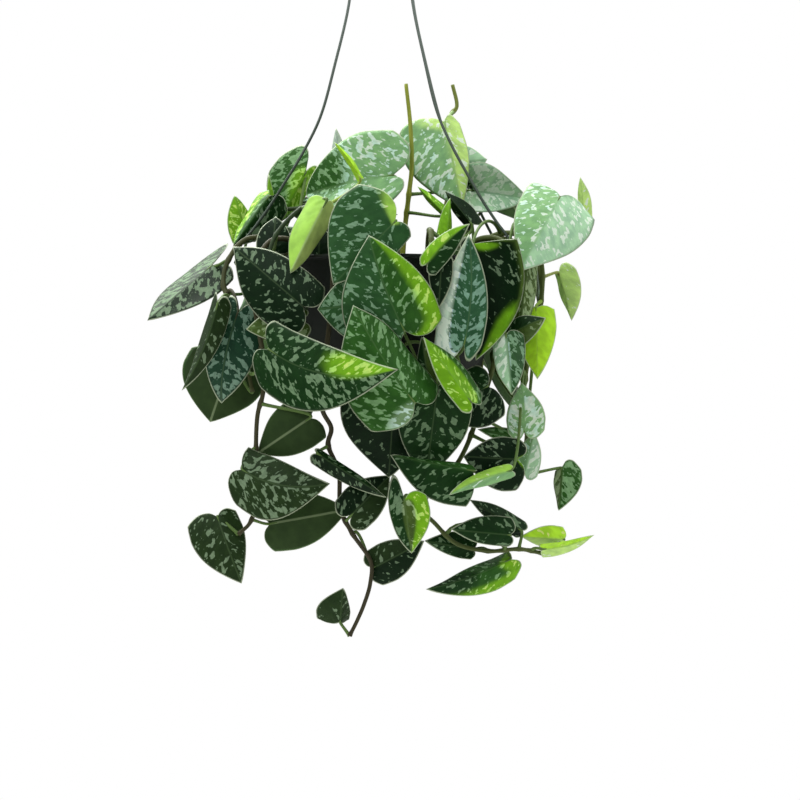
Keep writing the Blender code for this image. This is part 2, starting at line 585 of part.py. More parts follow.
def draw_hidden(draw, name, node, k, ranges):
    """One leaf for the sides or the back, from the random draws."""
    way, face, reach, rise, fall = ranges
    turns = []
    for middle, spread in (way, face):
        turn = math.radians(middle + draw.uniform(-spread, spread))
        turns.append(np.array([math.cos(turn), math.sin(turn), 0.0]))
    base = node + turns[0] * draw.uniform(*reach) + np.array([0, 0, draw.uniform(*rise)])
    length = draw.uniform(56, 82)
    fall = math.radians(draw.uniform(*fall))
    tip = base + (turns[1] * math.cos(fall) - np.array([0, 0, math.sin(fall)])) * length
    return {"name": f"{name}_{k}", "node": name, "base": base, "tip": tip, "length": length,
            "width": length * draw.uniform(0.38, 0.46), "cup": draw.uniform(-8, 24)}


def leaf_maker(row, shift, _, way):
    """A function that gives this leaf's blade and stalk, the stalk turned a little further in each try."""

    def make(attempt):
        sides = 4 if "seen" in row else 3
        stalk = stalk_solid(way, 0.0, row["node"], 0.3 + 0.37 * attempt, sides)
        return [blade_solid(grid_of(row, shift), BLADE), (stalk.verts, stalk.faces)]

    return make


def arrange(fixed):
    """Every leaf and stalk in place: (row, shift, stalk line) for each, with stems as they are drawn."""
    lines = {name: stem_line(points, 2) for name, *points in STEMS}
    placed = list(fixed)
    for name, line in lines.items():
        placed.append(Solid(*stem_solid(line, GAP), name))
    done = []
    for row in seen_rows():
        found, shift, solid = place_blade(row, placed)
        placed.append(solid)
        done.append([row, shift, solid])
        if found != (0, 0):
            print("blade", row["name"], "crosses", found)
    draw = random.Random(SEED)
    for name, count, shares, *ranges in HIDDEN:
        line = lines[name]
        for k in range(count):
            share = shares[0] + (shares[1] - shares[0]) * (k + 0.5) / count
            node = line[int(len(line) * share)]
            for attempt in range(DRAWS):
                row = draw_hidden(draw, name, node, k, ranges)
                grid = grid_of(row, 0)
                if not inside_cover(grid.reshape(-1, 3)):
                    continue
                solid = Solid(*blade_solid(grid, BLADE + CLEAR), name)
                if score(solid, placed) == (0, 0):
                    placed.append(solid)
                    done.append([row, 0, solid])
                    break
            else:
                print("no room for", name, k)
    for entry in done:
        row, shift, solid = entry
        found, way = place_stalk(row, shift, lines[row["node"]], placed, solid)
        placed.append(stalk_solid(way, GAP + 0.1, row["node"]))
        entry.append(way)
        if found[0]:
            print("stalk", row["name"], "crosses", found)
    return lines, done


def new_object(name, verts, faces, collection, scale=MM):
    mesh = bpy.data.meshes.new(name)
    mesh.from_pydata([tuple(float(c) * scale for c in v) for v in verts], [], [tuple(f) for f in faces])
    mesh.validate()
    obj = bpy.data.objects.new(name, mesh)
    collection.objects.link(obj)
    facing = bmesh.new()
    facing.from_mesh(mesh)
    bmesh.ops.recalc_face_normals(facing, faces=facing.faces)
    facing.to_mesh(mesh)
    facing.free()
    return obj


def drop(obj):
    mesh = obj.data
    bpy.data.objects.remove(obj)
    bpy.data.meshes.remove(mesh)


def boolean(obj, operation, other, solver="EXACT"):
    """The object after this Boolean with another object or with a collection, applied."""
    modifier = obj.modifiers.new(operation.lower(), "BOOLEAN")
    modifier.operation = operation
    modifier.solver = solver
    if isinstance(other, bpy.types.Collection):
        modifier.operand_type = "COLLECTION"
        modifier.collection = other
    else:
        modifier.object = other
    graph = bpy.context.evaluated_depsgraph_get()
    mesh = bpy.data.meshes.new_from_object(obj.evaluated_get(graph))
    old = obj.data
    obj.modifiers.clear()
    obj.data = mesh
    bpy.data.meshes.remove(old)
    mesh.name = obj.name


def tidy_edges(mesh):
    """Whether each edge joins two faces, also once points closer than WELD are taken as one."""
    points = np.array([v.co for v in mesh.vertices]) / MM
    faces = np.array([tuple(face.vertices) for face in mesh.polygons])
    for offset in (0.0, WELD / 2):
        _, index = np.unique(np.round((points + offset) / WELD).astype(np.int64), axis=0, return_inverse=True)
        welded = index.reshape(-1)[faces]
        ends = np.concatenate([welded[:, [0, 1]], welded[:, [1, 2]], welded[:, [2, 0]]])
        ends = np.sort(ends[ends[:, 0] != ends[:, 1]], axis=1)
        if (np.unique(ends, axis=0, return_counts=True)[1] != 2).any():
            return False
    return True


def in_triangles(mesh):
    split = bmesh.new()
    split.from_mesh(mesh)
    bmesh.ops.triangulate(split, faces=split.faces)
    split.to_mesh(mesh)
    split.free()


def fill_pockets(mesh):
    """Removes the walls of sealed pockets, so that they are solid."""
    shell = bmesh.new()
    shell.from_mesh(mesh)
    left = set(shell.faces)
    while left:
        island = set()
        front = [left.pop()]
        while front:
            face = front.pop()
            island.add(face)
            for edge in face.edges:
                for other in edge.link_faces:
                    if other in left:
                        left.discard(other)
                        front.append(other)
        volume = sum(f.verts[0].co.dot(f.verts[1].co.cross(f.verts[2].co)) for f in island)
        if volume < 0:
            bmesh.ops.delete(shell, geom=list(island), context="FACES")
    shell.to_mesh(mesh)
    shell.free()


def joined(name, first, additions, collection, cutters):
    """One node: the first solid, then each addition joined to it. An addition is a function that gives its
    solids for a try's number: where edges would fall together, the next try turns and moves them by a hair."""
    obj = new_object(name, *first, collection)
    in_triangles(obj.data)
    for k, addition in enumerate(additions):
        for attempt in range(TRIES):
            draw = np.random.default_rng(SEED + 100 * k + attempt)
            spare = bpy.data.collections.new(name + "_pieces")
            cutters.children.link(spare)
            for j, (verts, faces) in enumerate(addition(attempt)):
                verts = np.array(verts)
                verts = verts + draw.uniform(-HAIR, HAIR, verts.shape)
                in_triangles(new_object(f"{name}_piece_{j}", verts, faces, spare).data)
            bpy.context.view_layer.update()
            before = obj.data.copy()
            boolean(obj, "UNION", spare, "MANIFOLD")
            in_triangles(obj.data)
            for piece in list(spare.objects):
                drop(piece)
            bpy.data.collections.remove(spare)
            if tidy_edges(obj.data):
                bpy.data.meshes.remove(before)
                break
            if attempt < TRIES - 1:
                obj.data = before
        else:
            print("edges fall together in", name, k)
    fill_pockets(obj.data)
    return obj


def cut(obj, tools, collection):
    """Takes each (verts, faces) tool out of the object."""
    for verts, faces in tools:
        tool = new_object(obj.name + "_cutter", verts, faces, collection)
        boolean(obj, "DIFFERENCE", tool)
        drop(tool)


def peg(x, y, low, high, radius, sides=8):
    """An upright cylinder."""
    return tube([(x, y, low), (x, y, high)], radius, sides)


def pot_profile():
    rim_low = RIM_TOP - RIM_THICK
    inner_top = POT_TOP_RADIUS - POT_WALL
    inner_low = POT_BOTTOM_RADIUS - POT_WALL
    return [
        (0, POT_BOTTOM), (POT_BOTTOM_RADIUS - 3, POT_BOTTOM), (POT_BOTTOM_RADIUS, POT_BOTTOM + 4),
        (POT_TOP_RADIUS, rim_low), (RIM_RADIUS, rim_low), (RIM_RADIUS, RIM_TOP), (inner_top, RIM_TOP),
        (inner_low, POT_BOTTOM + 6), (inner_low - 3, POT_BOTTOM + POT_FLOOR), (0, POT_BOTTOM + POT_FLOOR),
    ]


def wall_inside(z):
    """The radius of the pot's inner wall at this height."""
    share = (z - POT_BOTTOM - 6) / (RIM_TOP - POT_BOTTOM - 6)
    return POT_BOTTOM_RADIUS - POT_WALL + share * (POT_TOP_RADIUS - POT_BOTTOM_RADIUS)


def soil_profile():
    low = POT_BOTTOM + POT_FLOOR + GAP
    return [
        (0, low), (POT_BOTTOM_RADIUS - POT_WALL - 4, low), (POT_BOTTOM_RADIUS - POT_WALL - 1, POT_BOTTOM + 7),
        (wall_inside(SOIL_TOP) - 1.2, SOIL_TOP), (55, SOIL_CROWN - 1), (25, SOIL_CROWN), (0, SOIL_CROWN),
    ]


def wire_line(name):
    """The middle line of one hanger wire: over the hook's eye, down to the rim and up through its hole."""
    turn = math.radians(WIRE_ANGLES[name])
    c, s = math.cos(turn), math.sin(turn)
    front = -1.0 if s < 0 else 1.0
    x = EYE_X[name]
    bar = EYE_Z - math.sqrt(EYE_LOOP**2 - x**2)
    top = [
        (x, -front * 3.0, bar - 2.0), (x, -front * 2.75, bar + 1.0),
        (x, -front * 1.6, bar + 2.9), (x, 0, bar + 3.4), (x, front * 1.6, bar + 2.9),
        (x, front * 2.8, bar + 0.8), (x * 1.05, front * 3.4, bar - 3.0),
    ]
    run = [
        (9.0, 298), (15.5, 254), (20.5, 205), (24.5, 172), (33.5, 134), (43.0, 99), (55.0, 73.5), (69.5, 49.5),
        (80.0, 33), (90.5, 18.5), (97.5, 10), (101.6, 2), (101.8, -4.5), (98.8, -9.0), (95.3, -10.2),
        (92.9, -8.0), (92.5, -3.5), (92.5, 0.5),
    ]
    if name == "wire_back":
        run = [(r + np.interp(z, WIDER_AT, WIDER), z) for r, z in run]
    return curve_through(top + [(r * c, r * s, z) for r, z in run], 1)


def hook_solids():
    """The eye, shank and hook, as pieces that overlap."""
    ring = []
    for k in range(HOOK_STEPS):
        turn = 2 * math.pi * k / HOOK_STEPS
        ring.append((EYE_LOOP * math.sin(turn), 0.0, EYE_Z - EYE_LOOP * math.cos(turn)))
    verts = []
    faces = []
    for k, (x, _, z) in enumerate(ring):
        out = unit(np.array([x, 0.0, z - EYE_Z]))
        for m in range(HOOK_SIDES):
            turn = 2 * math.pi * m / HOOK_SIDES
            verts.append(np.array([x, 0.0, z]) + HOOK_RADIUS * (math.cos(turn) * out
                         + math.sin(turn) * np.array([0.0, 1.0, 0.0])))
    for k in range(HOOK_STEPS):
        for m in range(HOOK_SIDES):
            n = (m + 1) % HOOK_SIDES
            a = k * HOOK_SIDES
            b = (k + 1) % HOOK_STEPS * HOOK_SIDES
            faces.append((a + m, a + n, b + n, b + m))
    way = [
        (0, 0, EYE_Z + EYE_LOOP - 0.3), (0, 0, 332), (-2.5, 0, 337.5), (-7.8, 0, 342.0), (-11.4, 0, 347.0),
        (-12.0, 0, 352.0), (-8.5, 0, 360.5), (0, 0, 364.0), (8.5, 0, 360.5), (12.0, 0, 352.0), (10.6, 0, 346.2),
        (12.2, 0, 342.6),
    ]
    return [(verts, faces), tube(curve_through(way, 2), HOOK_RADIUS, HOOK_SIDES)]


def main():
    for obj in list(bpy.data.objects):
        bpy.data.objects.remove(obj)
    scene = bpy.context.scene
    parts = bpy.data.collections.new("satin_pothos_in_hanging_pot")
    cutters = bpy.data.collections.new("cutters")
    scene.collection.children.link(parts)
    scene.collection.children.link(cutters)
    rim = bpy.data.objects.new("rim_centre", None)
    rim.location = (0, 0, -HANG_Z * MM)
    parts.objects.link(rim)

    wires = {name: tube(wire_line(name), WIRE_RADIUS, 6) for name in WIRE_ANGLES}
    pot_shell = lathe(pot_profile(), POT_SEGMENTS)
    soil_shell = lathe(soil_profile(), POT_SEGMENTS)
    fixed = [Solid(*pot_shell, "pot")]
    for name in WIRE_ANGLES:
        fixed.append(Solid(*tube(wire_line(name), WIRE_RADIUS + GAP, 6), name))
    fixed.append(Solid([(x, y, z + GAP) for x, y, z in soil_shell[0]], soil_shell[1], "soil"))
    lines, leaves = arrange(fixed)

    nodes = {}
    nodes["pot"] = new_object("pot", *pot_shell, parts)
    tools = []
    for angle in WIRE_ANGLES.values():
        x = WIRE_HOLE_AT * math.cos(math.radians(angle))
        y = WIRE_HOLE_AT * math.sin(math.radians(angle))
        tools.append(peg(x, y, RIM_TOP - RIM_THICK - 3, RIM_TOP + 3, WIRE_HOLE_RADIUS))
    for k in range(DRAIN_COUNT):
        turn = 2 * math.pi * k / DRAIN_COUNT
        tools.append(peg(DRAIN_AT * math.cos(turn), DRAIN_AT * math.sin(turn), POT_BOTTOM - 3,
                         POT_BOTTOM + POT_FLOOR + 3, DRAIN_RADIUS))
    cut(nodes["pot"], tools, cutters)
    nodes["soil"] = new_object("soil", *soil_shell, parts)
    holes = []
    for name, line in lines.items():
        holes.append(peg(line[0][0], line[0][1], STEM_FOOT - GAP, SOIL_TOP + 30, STEM_RADIUS + HOLE_PLAY))
    cut(nodes["soil"], holes, cutters)
    for name, solid in wires.items():
        nodes[name] = new_object(name, *solid, parts)
    ring, bar = hook_solids()
    nodes["hook"] = joined("hook", ring, [lambda attempt: [bar]], parts, cutters)
    for name, line in lines.items():
        additions = [leaf_maker(*leaf) for leaf in leaves if leaf[0]["node"] == name]
        nodes[name] = joined(name, stem_solid(line), additions, parts, cutters)

    colours = {"pot": POT_COLOUR, "soil": SOIL_COLOUR, "hook": STEEL}
    total = 0
    for name, obj in nodes.items():
        obj.parent = rim
        colour = colours.get(name, STEEL if name.startswith("wire") else GREEN)
        material = bpy.data.materials.new(name)
        material.use_nodes = True
        shader = material.node_tree.nodes["Principled BSDF"]
        shader.inputs["Base Color"].default_value = colour
        shader.inputs["Metallic"].default_value = 1.0 if colour is STEEL else 0.0
        shader.inputs["Roughness"].default_value = 0.35 if colour is STEEL else 0.5
        obj.data.materials.clear()
        obj.data.materials.append(material)
        count = sum(len(p.vertices) - 2 for p in obj.data.polygons)
        total += count
        print(name, count)
    print("triangles", total, "leaves", len(leaves))


main()
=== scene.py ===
"""The look of a satin pothos in a hanging pot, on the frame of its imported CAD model: hook, three wires, pot and
soil, then fifteen stems with their stalks and mottled leaves. Lengths are in millimetres from the centre of the
pot's rim, x to the right, y away from the viewer, z up, until a piece is made."""

import math
import random

import bmesh
import bpy
import numpy as np
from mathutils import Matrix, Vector


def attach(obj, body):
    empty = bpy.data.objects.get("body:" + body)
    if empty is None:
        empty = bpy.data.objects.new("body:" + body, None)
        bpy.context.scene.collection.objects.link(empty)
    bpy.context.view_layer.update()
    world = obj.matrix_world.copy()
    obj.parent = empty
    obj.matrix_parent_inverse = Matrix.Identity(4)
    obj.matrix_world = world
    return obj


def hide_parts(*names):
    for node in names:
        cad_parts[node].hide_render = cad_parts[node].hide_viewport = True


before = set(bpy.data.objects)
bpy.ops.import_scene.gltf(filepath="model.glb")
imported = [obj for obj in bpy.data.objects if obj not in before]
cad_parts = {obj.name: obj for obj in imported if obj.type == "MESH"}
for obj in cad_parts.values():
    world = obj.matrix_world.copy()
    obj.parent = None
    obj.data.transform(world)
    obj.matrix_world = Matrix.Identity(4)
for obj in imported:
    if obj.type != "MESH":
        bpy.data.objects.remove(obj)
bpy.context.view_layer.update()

# The place the picture is taken from
# The pot hangs before a white ground, so the camera stands level with the upper leaves, a good step away, with
# a long lens. The floor lies far below, outside the picture. The leaves' table uses the same EYE.

MM = 0.001
HANG_Z = 362.5
EYE = np.array([11.9, -1400.0, -101.5])
LENS = 90.0
SENSOR = 36.0
FLOOR_Z = -1.35
FLOOR_REACH = 3.0


def placed(name, data):
    """A new object with this data, in the scene."""
    made = bpy.data.objects.new(name, data)
    bpy.context.scene.collection.objects.link(made)
    return made


def srgb(red, green, blue):
    """A colour given as it looks on a screen, 0 to 255, as the linear value that a shader takes."""
    share = np.array([red, green, blue]) / 255.0
    return tuple(np.where(share < 0.04045, share / 12.92, ((share + 0.055) / 1.055) ** 2.4)) + (1.0,)


class Finish:
    """The nodes of a material, or of the world: node() adds one and sets its sockets, from values or from other
    nodes' outputs. A socket is given by its name, with _ for a space, or by its number, as n0."""

    def __init__(self, name, owner=None, shader="Principled BSDF"):
        self.material = owner or bpy.data.materials.new(name)
        self.material.use_nodes = True
        self.tree = self.material.node_tree
        self.shader = self.tree.nodes[shader]

    def node(self, kind, settings=None, **sockets):
        made = self.tree.nodes.new("ShaderNode" + kind)
        for key, value in (settings or {}).items():
            setattr(made, key, value)
        self.join(made, sockets)
        return made

    def join(self, made, sockets):
        for key, value in sockets.items():
            numbered = key[-1].isdigit() and key[0] == "n"
            socket = made.inputs[int(key[1:])] if numbered else made.inputs[key.replace("_", " ")]
            if isinstance(value, bpy.types.NodeSocket):
                self.tree.links.new(value, socket)
            else:
                socket.default_value = value

    def surface(self, **sockets):
        self.join(self.shader, sockets)

    def math(self, operation, a, b=0.0):
        return self.node("Math", {"operation": operation}, n0=a, n1=b).outputs[0]

    def mix(self, share, first, second, blend="MIX"):
        return self.node("MixRGB", {"blend_type": blend}, Fac=share, Color1=first, Color2=second).outputs[0]

    def ramp(self, value, low, high, start=0.0, end=1.0, way="SMOOTHSTEP"):
        """The value from low to high, taken to start to end."""
        return self.node("MapRange", {"interpolation_type": way}, Value=value, From_Min=low, From_Max=high,
                         To_Min=start, To_Max=end).outputs[0]

    def noise(self, vector, scale, detail=2.0, distortion=0.0, roughness=0.5):
        return self.node("TexNoise", Vector=vector, Scale=scale, Detail=detail, Distortion=distortion,
                         Roughness=roughness).outputs[0]

    def clouded(self, colour, noise, darker, lighter):
        """The colour multiplied by the darker value where the noise is low and by the lighter where it is high."""
        cloud = self.mix(self.ramp(noise, 0.3, 0.7), (*darker, 1.0), (*lighter, 1.0))
        return self.mix(1.0, colour, cloud, "MULTIPLY")

    def attribute(self, name, output="Vector"):
        return self.node("Attribute", {"attribute_name": name}).outputs[output]

    def place(self):
        return self.node("TexCoord").outputs["Object"]

    def split(self, vector):
        return self.node("SeparateXYZ", Vector=vector).outputs

    def joined(self, x, y, z):
        return self.node("CombineXYZ", X=x, Y=y, Z=z).outputs[0]

    def bump(self, height, distance, strength=1.0):
        self.surface(Normal=self.node("Bump", Height=height, Distance=distance, Strength=strength).outputs[0])


bpy.context.scene.view_settings.view_transform = "Standard"
eye = bpy.data.cameras.new("eye")
eye.lens = LENS
eye.sensor_width = SENSOR
camera = placed("eye", eye)
camera.location = (EYE[0] * MM, EYE[1] * MM, (EYE[2] - HANG_Z) * MM)
camera.rotation_euler = (math.pi / 2, 0.0, 0.0)
bpy.context.scene.camera = camera

floor_finish = Finish("pale_floor")
floor_finish.surface(Base_Color=srgb(236, 236, 232), Roughness=0.9)
floor_mesh = bpy.data.meshes.new("floor")
floor_corners = [(x * FLOOR_REACH, y * FLOOR_REACH, FLOOR_Z) for x, y in ((-1, -1), (1, -1), (1, 1), (-1, 1))]
floor_mesh.from_pydata(floor_corners, [], [(0, 1, 2, 3)])
floor_mesh.materials.append(floor_finish.material)
placed("floor", floor_mesh)

# The light
# Soft white light comes mostly from above and behind, as from a high window, so that the tops of the leaves
# shine and the hollows between them stay dark. What is seen behind the plant is plain white.

LIT_MIDDLE_Z = -0.42
AIR_LOW, AIR_HIGH = 0.12, 0.80
LAMPS = (
    ("high_window", (-0.35, 0.65, 0.75), 1.3, 34.0, (1.0, 1.0, 0.97)),
    ("room_front", (-0.5, -0.8, 0.5), 1.0, 5.5, (0.96, 0.99, 1.0)),
    ("room_right", (1.4, 0.1, 0.1), 0.9, 4.0, (1.0, 1.0, 0.96)),
)

air = Finish("white_room", bpy.data.worlds.new("white_room"), "Background")
bpy.context.scene.world = air.material
height = air.split(air.node("TexCoord").outputs["Generated"])[2]
glow = air.ramp(height, -0.5, 0.9, AIR_LOW, AIR_HIGH, "LINEAR")
seen = air.node("LightPath").outputs["Is Camera Ray"]
air.surface(Strength=air.node("Mix", n0=seen, n2=glow, n3=1.0).outputs[0], Color=(1.0, 1.0, 1.0, 1.0))

for name, at, size, power, colour in LAMPS:
    lamp = bpy.data.lights.new(name, "AREA")
    lamp.size = size
    lamp.energy = power
    lamp.color = colour
    holder = placed(name, lamp)
    holder.location = at
    toward_plant = np.array([0.0, 0.0, LIT_MIDDLE_Z]) - np.array(at)
    holder.rotation_euler = Vector(toward_plant).to_track_quat("-Z", "Y").to_euler()

# The hook
# A bent bar of galvanised steel, 3 mm thick: a crook that goes over a rail, a short shank, and below it a
# closed eye in which the three wires hang. The crook's highest inner point is where the pot's weight bears.

HOOK_RADIUS = 1.5
HOOK_SIDES = 16
EYE_Z = 320.5
EYE_LOOP = 6.0


def unit(v):
    return v / np.linalg.norm(v, axis=-1, keepdims=True)


def curve_through(points, steps):
    """A smooth curve through the points: in each span a cubic whose ends run parallel to the neighbours' line."""
    p = np.array(points, float)
    p = np.vstack([2 * p[0] - p[1], p, 2 * p[-1] - p[-2]])
    t = (np.arange(steps) / steps)[None, :, None]
    a, b, c, d = (p[k:len(p) - 3 + k, None] for k in range(4))
    spans = 0.5 * (2 * b + (c - a) * t + (2 * a - 5 * b + 4 * c - d) * t**2 + (3 * b - a - 3 * c + d) * t**3)
    return np.vstack([spans.reshape(-1, 3), p[-2:-1]])


def bands(index):
    """The quads between each ring of points and the next, from the points' numbers, a ring to a row."""
    after = np.roll(index, -1, axis=1)
    return np.stack([index[:-1], after[:-1], after[1:], index[1:]], axis=-1).reshape(-1, 4).tolist()


def tube(path, radius, sides):
    """A closed round bar: circles of the given radius set square to the path, measured from the direction in
    which the path as a whole bends least, with flat ends."""
    path = np.asarray(path, float)
    radius = np.broadcast_to(np.asarray(radius, float), (len(path),))
    along = unit(np.gradient(path, axis=0))
    flattest = np.linalg.svd(path - path.mean(axis=0))[2][2]
    across = unit(np.cross(along, flattest))
    other = np.cross(along, across)
    turn = 2 * np.pi * np.arange(sides) / sides
    ring = np.cos(turn)[:, None] * across[:, None] + np.sin(turn)[:, None] * other[:, None]
    verts = (path[:, None] + radius[:, None, None] * ring).reshape(-1, 3)
    index = np.arange(len(verts)).reshape(len(path), sides)
    return verts, bands(index) + [index[0, ::-1].tolist(), index[-1].tolist()]


def together(parts):
    """The points and the faces of several (points, faces), as one."""
    faces, first = [], 0
    for verts, own in parts:
        faces += [[n + first for n in face] for face in own]
        first += len(verts)
    return np.vstack([part[0] for part in parts]), faces


def mesh_of(name, verts, faces):
    """A mesh from points in millimetres over the pot's rim, in metres from the point that the hook bears on."""
    mesh = bpy.data.meshes.new(name)
    mesh.from_pydata(((np.asarray(verts) - (0.0, 0.0, HANG_Z)) * MM).tolist(), [], faces)
    return mesh


def piece(name, verts, faces, finishes, slot, *nodes, which=None):
    """A smooth object in the place of these CAD nodes. `which` is the number of each face's finish."""
    mesh = mesh_of(name, verts, faces)
    mesh.polygons.foreach_set("use_smooth", np.ones(len(faces), bool))
    for finish in finishes:
        mesh.materials.append(finish.material)
    if which is not None:
        mesh.polygons.foreach_set("material_index", np.asarray(which, np.int32))
    mesh.update()
    made = placed(name, mesh)
    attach(made, "root")
    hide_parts(*nodes)
    return made


galvanised = Finish("galvanised_steel")
spangle = galvanised.noise(galvanised.place(), 900.0, 3.0)
spangled = galvanised.mix(galvanised.ramp(spangle, 0.35, 0.65), srgb(96, 102, 100), srgb(150, 156, 154))
galvanised.surface(Base_Color=spangled, Metallic=0.85, Roughness=0.38)
galvanised.bump(spangle, 0.00006)

loop_turn = np.linspace(0.0, 2 * np.pi, 49)
loop_path = np.stack([EYE_LOOP * np.sin(loop_turn), 0 * loop_turn, EYE_Z - EYE_LOOP * np.cos(loop_turn)], axis=1)
crook_way = [
    (0, 0, EYE_Z + EYE_LOOP - 0.3), (0, 0, 332), (-2.5, 0, 337.5), (-7.8, 0, 342.0), (-11.4, 0, 347.0),
    (-12.0, 0, 352.0), (-8.5, 0, 360.5), (0, 0, 364.0), (8.5, 0, 360.5), (12.0, 0, 352.0), (10.6, 0, 346.2),
    (12.2, 0, 342.6),
]
bars = [tube(path, HOOK_RADIUS, HOOK_SIDES) for path in (loop_path, curve_through(crook_way, 8))]
piece("hook_bar", *together(bars), [galvanised], "steel", "hook")

# The three wires
# Plain 2 mm wires of galvanised steel, each hung over the eye by a bent end. They spread down to the pot and come
# up from below through a hole in the rim. Toward the plant, where the leaves shade them, they are painted darker
# and greener: painted shade.

WIRE_RADIUS = 1.0
WIRE_SIDES = 12
WIRE_ANGLES = {"wire_right": -31.0, "wire_back": 31.0, "wire_left": 180.0}
EYE_X = {"wire_right": 2.8, "wire_back": 0.0, "wire_left": -2.8}
# How much wider the back wire's way is at these heights, so that it clears the leaves.
WIDER_AT = (12, 33, 99, 134, 172, 205, 254, 298)
WIDER = (0, 2, 4, 2.6, 1.6, 1.2, 0.8, 0)

drawn_wire = Finish("drawn_wire")
height = drawn_wire.split(drawn_wire.place())[2]
# painted shade: the wire's colour turns darker and greener below, where it runs among the shading leaves
shaded_toward_plant = drawn_wire.mix(drawn_wire.ramp(height, -0.34, -0.12), srgb(66, 80, 68), srgb(122, 132, 126))
drawn_wire.surface(Base_Color=shaded_toward_plant, Roughness=0.42, Metallic=0.4)

for name, angle in WIRE_ANGLES.items():
    cosine = math.cos(math.radians(angle))
    sine = math.sin(math.radians(angle))
    front = -1.0 if sine < 0 else 1.0
    x = EYE_X[name]
    bar = EYE_Z - math.sqrt(EYE_LOOP**2 - x**2)
    over_eye = [
        (x, -front * 3.0, bar - 2.0), (x, -front * 2.75, bar + 1.0),
        (x, -front * 1.6, bar + 2.9), (x, 0, bar + 3.4), (x, front * 1.6, bar + 2.9), (x, front * 2.8, bar + 0.8),
        (x * 1.05, front * 3.4, bar - 3.0),
    ]
    run = [
        (9.0, 298), (15.5, 254), (20.5, 205), (24.5, 172), (33.5, 134), (43.0, 99), (55.0, 73.5), (69.5, 49.5),
        (80.0, 33), (90.5, 18.5), (97.5, 10), (101.6, 2), (101.8, -4.5), (98.8, -9.0), (95.3, -10.2),
        (92.9, -8.0), (92.5, -3.5), (92.5, 0.5),
    ]
    if name == "wire_back":
        run = [(r + np.interp(z, WIDER_AT, WIDER), z) for r, z in run]
    path = curve_through(over_eye + [(r * cosine, r * sine, z) for r, z in run], 8)
    piece(name + "_drawn", *tube(path, WIRE_RADIUS, WIRE_SIDES), [drawn_wire], "steel", name)

# The pot
# A moulded nursery pot of dark plastic, 2 mm thick, with a flat rim pierced for the wires and five drain holes
# in its floor. Its wall narrows downward, and all its edges are rounded by the mould.

RIM_TOP = -6.0
RIM_THICK = 2.0
RIM_RADIUS = 98.0
POT_TOP_RADIUS = 88.0
POT_BOTTOM_RADIUS = 62.0
POT_BOTTOM = -106.0
POT_WALL = 2.0
POT_FLOOR = 2.5
POT_SEGMENTS = 144
WIRE_HOLE_AT = 92.5
WIRE_HOLE_RADIUS = 2.7
DRAIN_AT = 38.0
DRAIN_RADIUS = 4.0
DRAIN_COUNT = 5
EDGE_ROUND = 0.6


def rounded(profile, radius, steps=3):
    """The profile with each inner corner replaced by a short curve that starts and ends this far from it."""
    p = np.array(profile, float)
    out = [p[:1]]
    for before, corner, after in zip(p[:-2], p[1:-1], p[2:]):
        first, last = (corner + unit(other - corner) * min(radius, np.linalg.norm(other - corner) * 0.4)
                       for other in (before, after))
        t = np.linspace(0.0, 1.0, steps + 1)[:, None]
        out.append((1 - t) ** 2 * first + 2 * t * (1 - t) * corner + t**2 * last)
    out.append(p[-1:])
    return np.vstack(out)


def lathe(profile, segments):
    """A closed body: the profile's (radius, height) points turned round the upright axis, on which it starts
    and ends."""
    profile = np.asarray(profile, float)
    turn = 2 * np.pi * np.arange(segments) / segments
    radius, level = profile[1:-1, 0], profile[1:-1, 1]
    rings = np.stack([radius[:, None] * np.cos(turn), radius[:, None] * np.sin(turn),
                      np.broadcast_to(level[:, None], (len(level), segments))], axis=-1)
    verts = np.vstack([[[0.0, 0.0, profile[0, 1]]], rings.reshape(-1, 3), [[0.0, 0.0, profile[-1, 1]]]])
    index = 1 + np.arange(len(level) * segments).reshape(-1, segments)
    low, high = index[0], index[-1]
    start = np.stack([np.zeros(segments, int), np.roll(low, -1), low], axis=-1)
    finish = np.stack([np.full(segments, len(verts) - 1), high, np.roll(high, -1)], axis=-1)
    return verts, bands(index) + start.tolist() + finish.tolist()


pot_plastic = Finish("pot_plastic")
scuff = pot_plastic.noise(pot_plastic.place(), 60.0, 5.0, 0.4)
grain = pot_plastic.noise(pot_plastic.place(), 1400.0, 2.0)
scuffed = pot_plastic.mix(pot_plastic.ramp(scuff, 0.35, 0.7), srgb(16, 22, 18), srgb(28, 36, 30))
dullness = pot_plastic.ramp(scuff, 0.3, 0.7, 0.46, 0.66)
pot_plastic.surface(Base_Color=scuffed, Roughness=dullness, Specular_IOR_Level=0.25)
pot_plastic.bump(grain, 0.00008)

rim_low = RIM_TOP - RIM_THICK
inner_top = POT_TOP_RADIUS - POT_WALL
inner_low = POT_BOTTOM_RADIUS - POT_WALL
wall_low = POT_BOTTOM + 6
pot_profile = [
    (0, POT_BOTTOM), (POT_BOTTOM_RADIUS - 3, POT_BOTTOM), (POT_BOTTOM_RADIUS, POT_BOTTOM + 4),
    (POT_TOP_RADIUS, rim_low), (RIM_RADIUS, rim_low), (RIM_RADIUS, RIM_TOP), (inner_top, RIM_TOP),
    (inner_low, wall_low), (inner_low - 3, POT_BOTTOM + POT_FLOOR), (0, POT_BOTTOM + POT_FLOOR),
]
pot_verts, pot_faces = lathe(rounded(pot_profile, EDGE_ROUND), POT_SEGMENTS)
pot = piece("pot_moulded", pot_verts, pot_faces, [pot_plastic], "pot_plastic", "pot")
holes = [(WIRE_HOLE_AT, angle, RIM_TOP - 1, WIRE_HOLE_RADIUS) for angle in WIRE_ANGLES.values()]
holes += [(DRAIN_AT, 360.0 * k / DRAIN_COUNT, POT_BOTTOM + 1, DRAIN_RADIUS) for k in range(DRAIN_COUNT)]
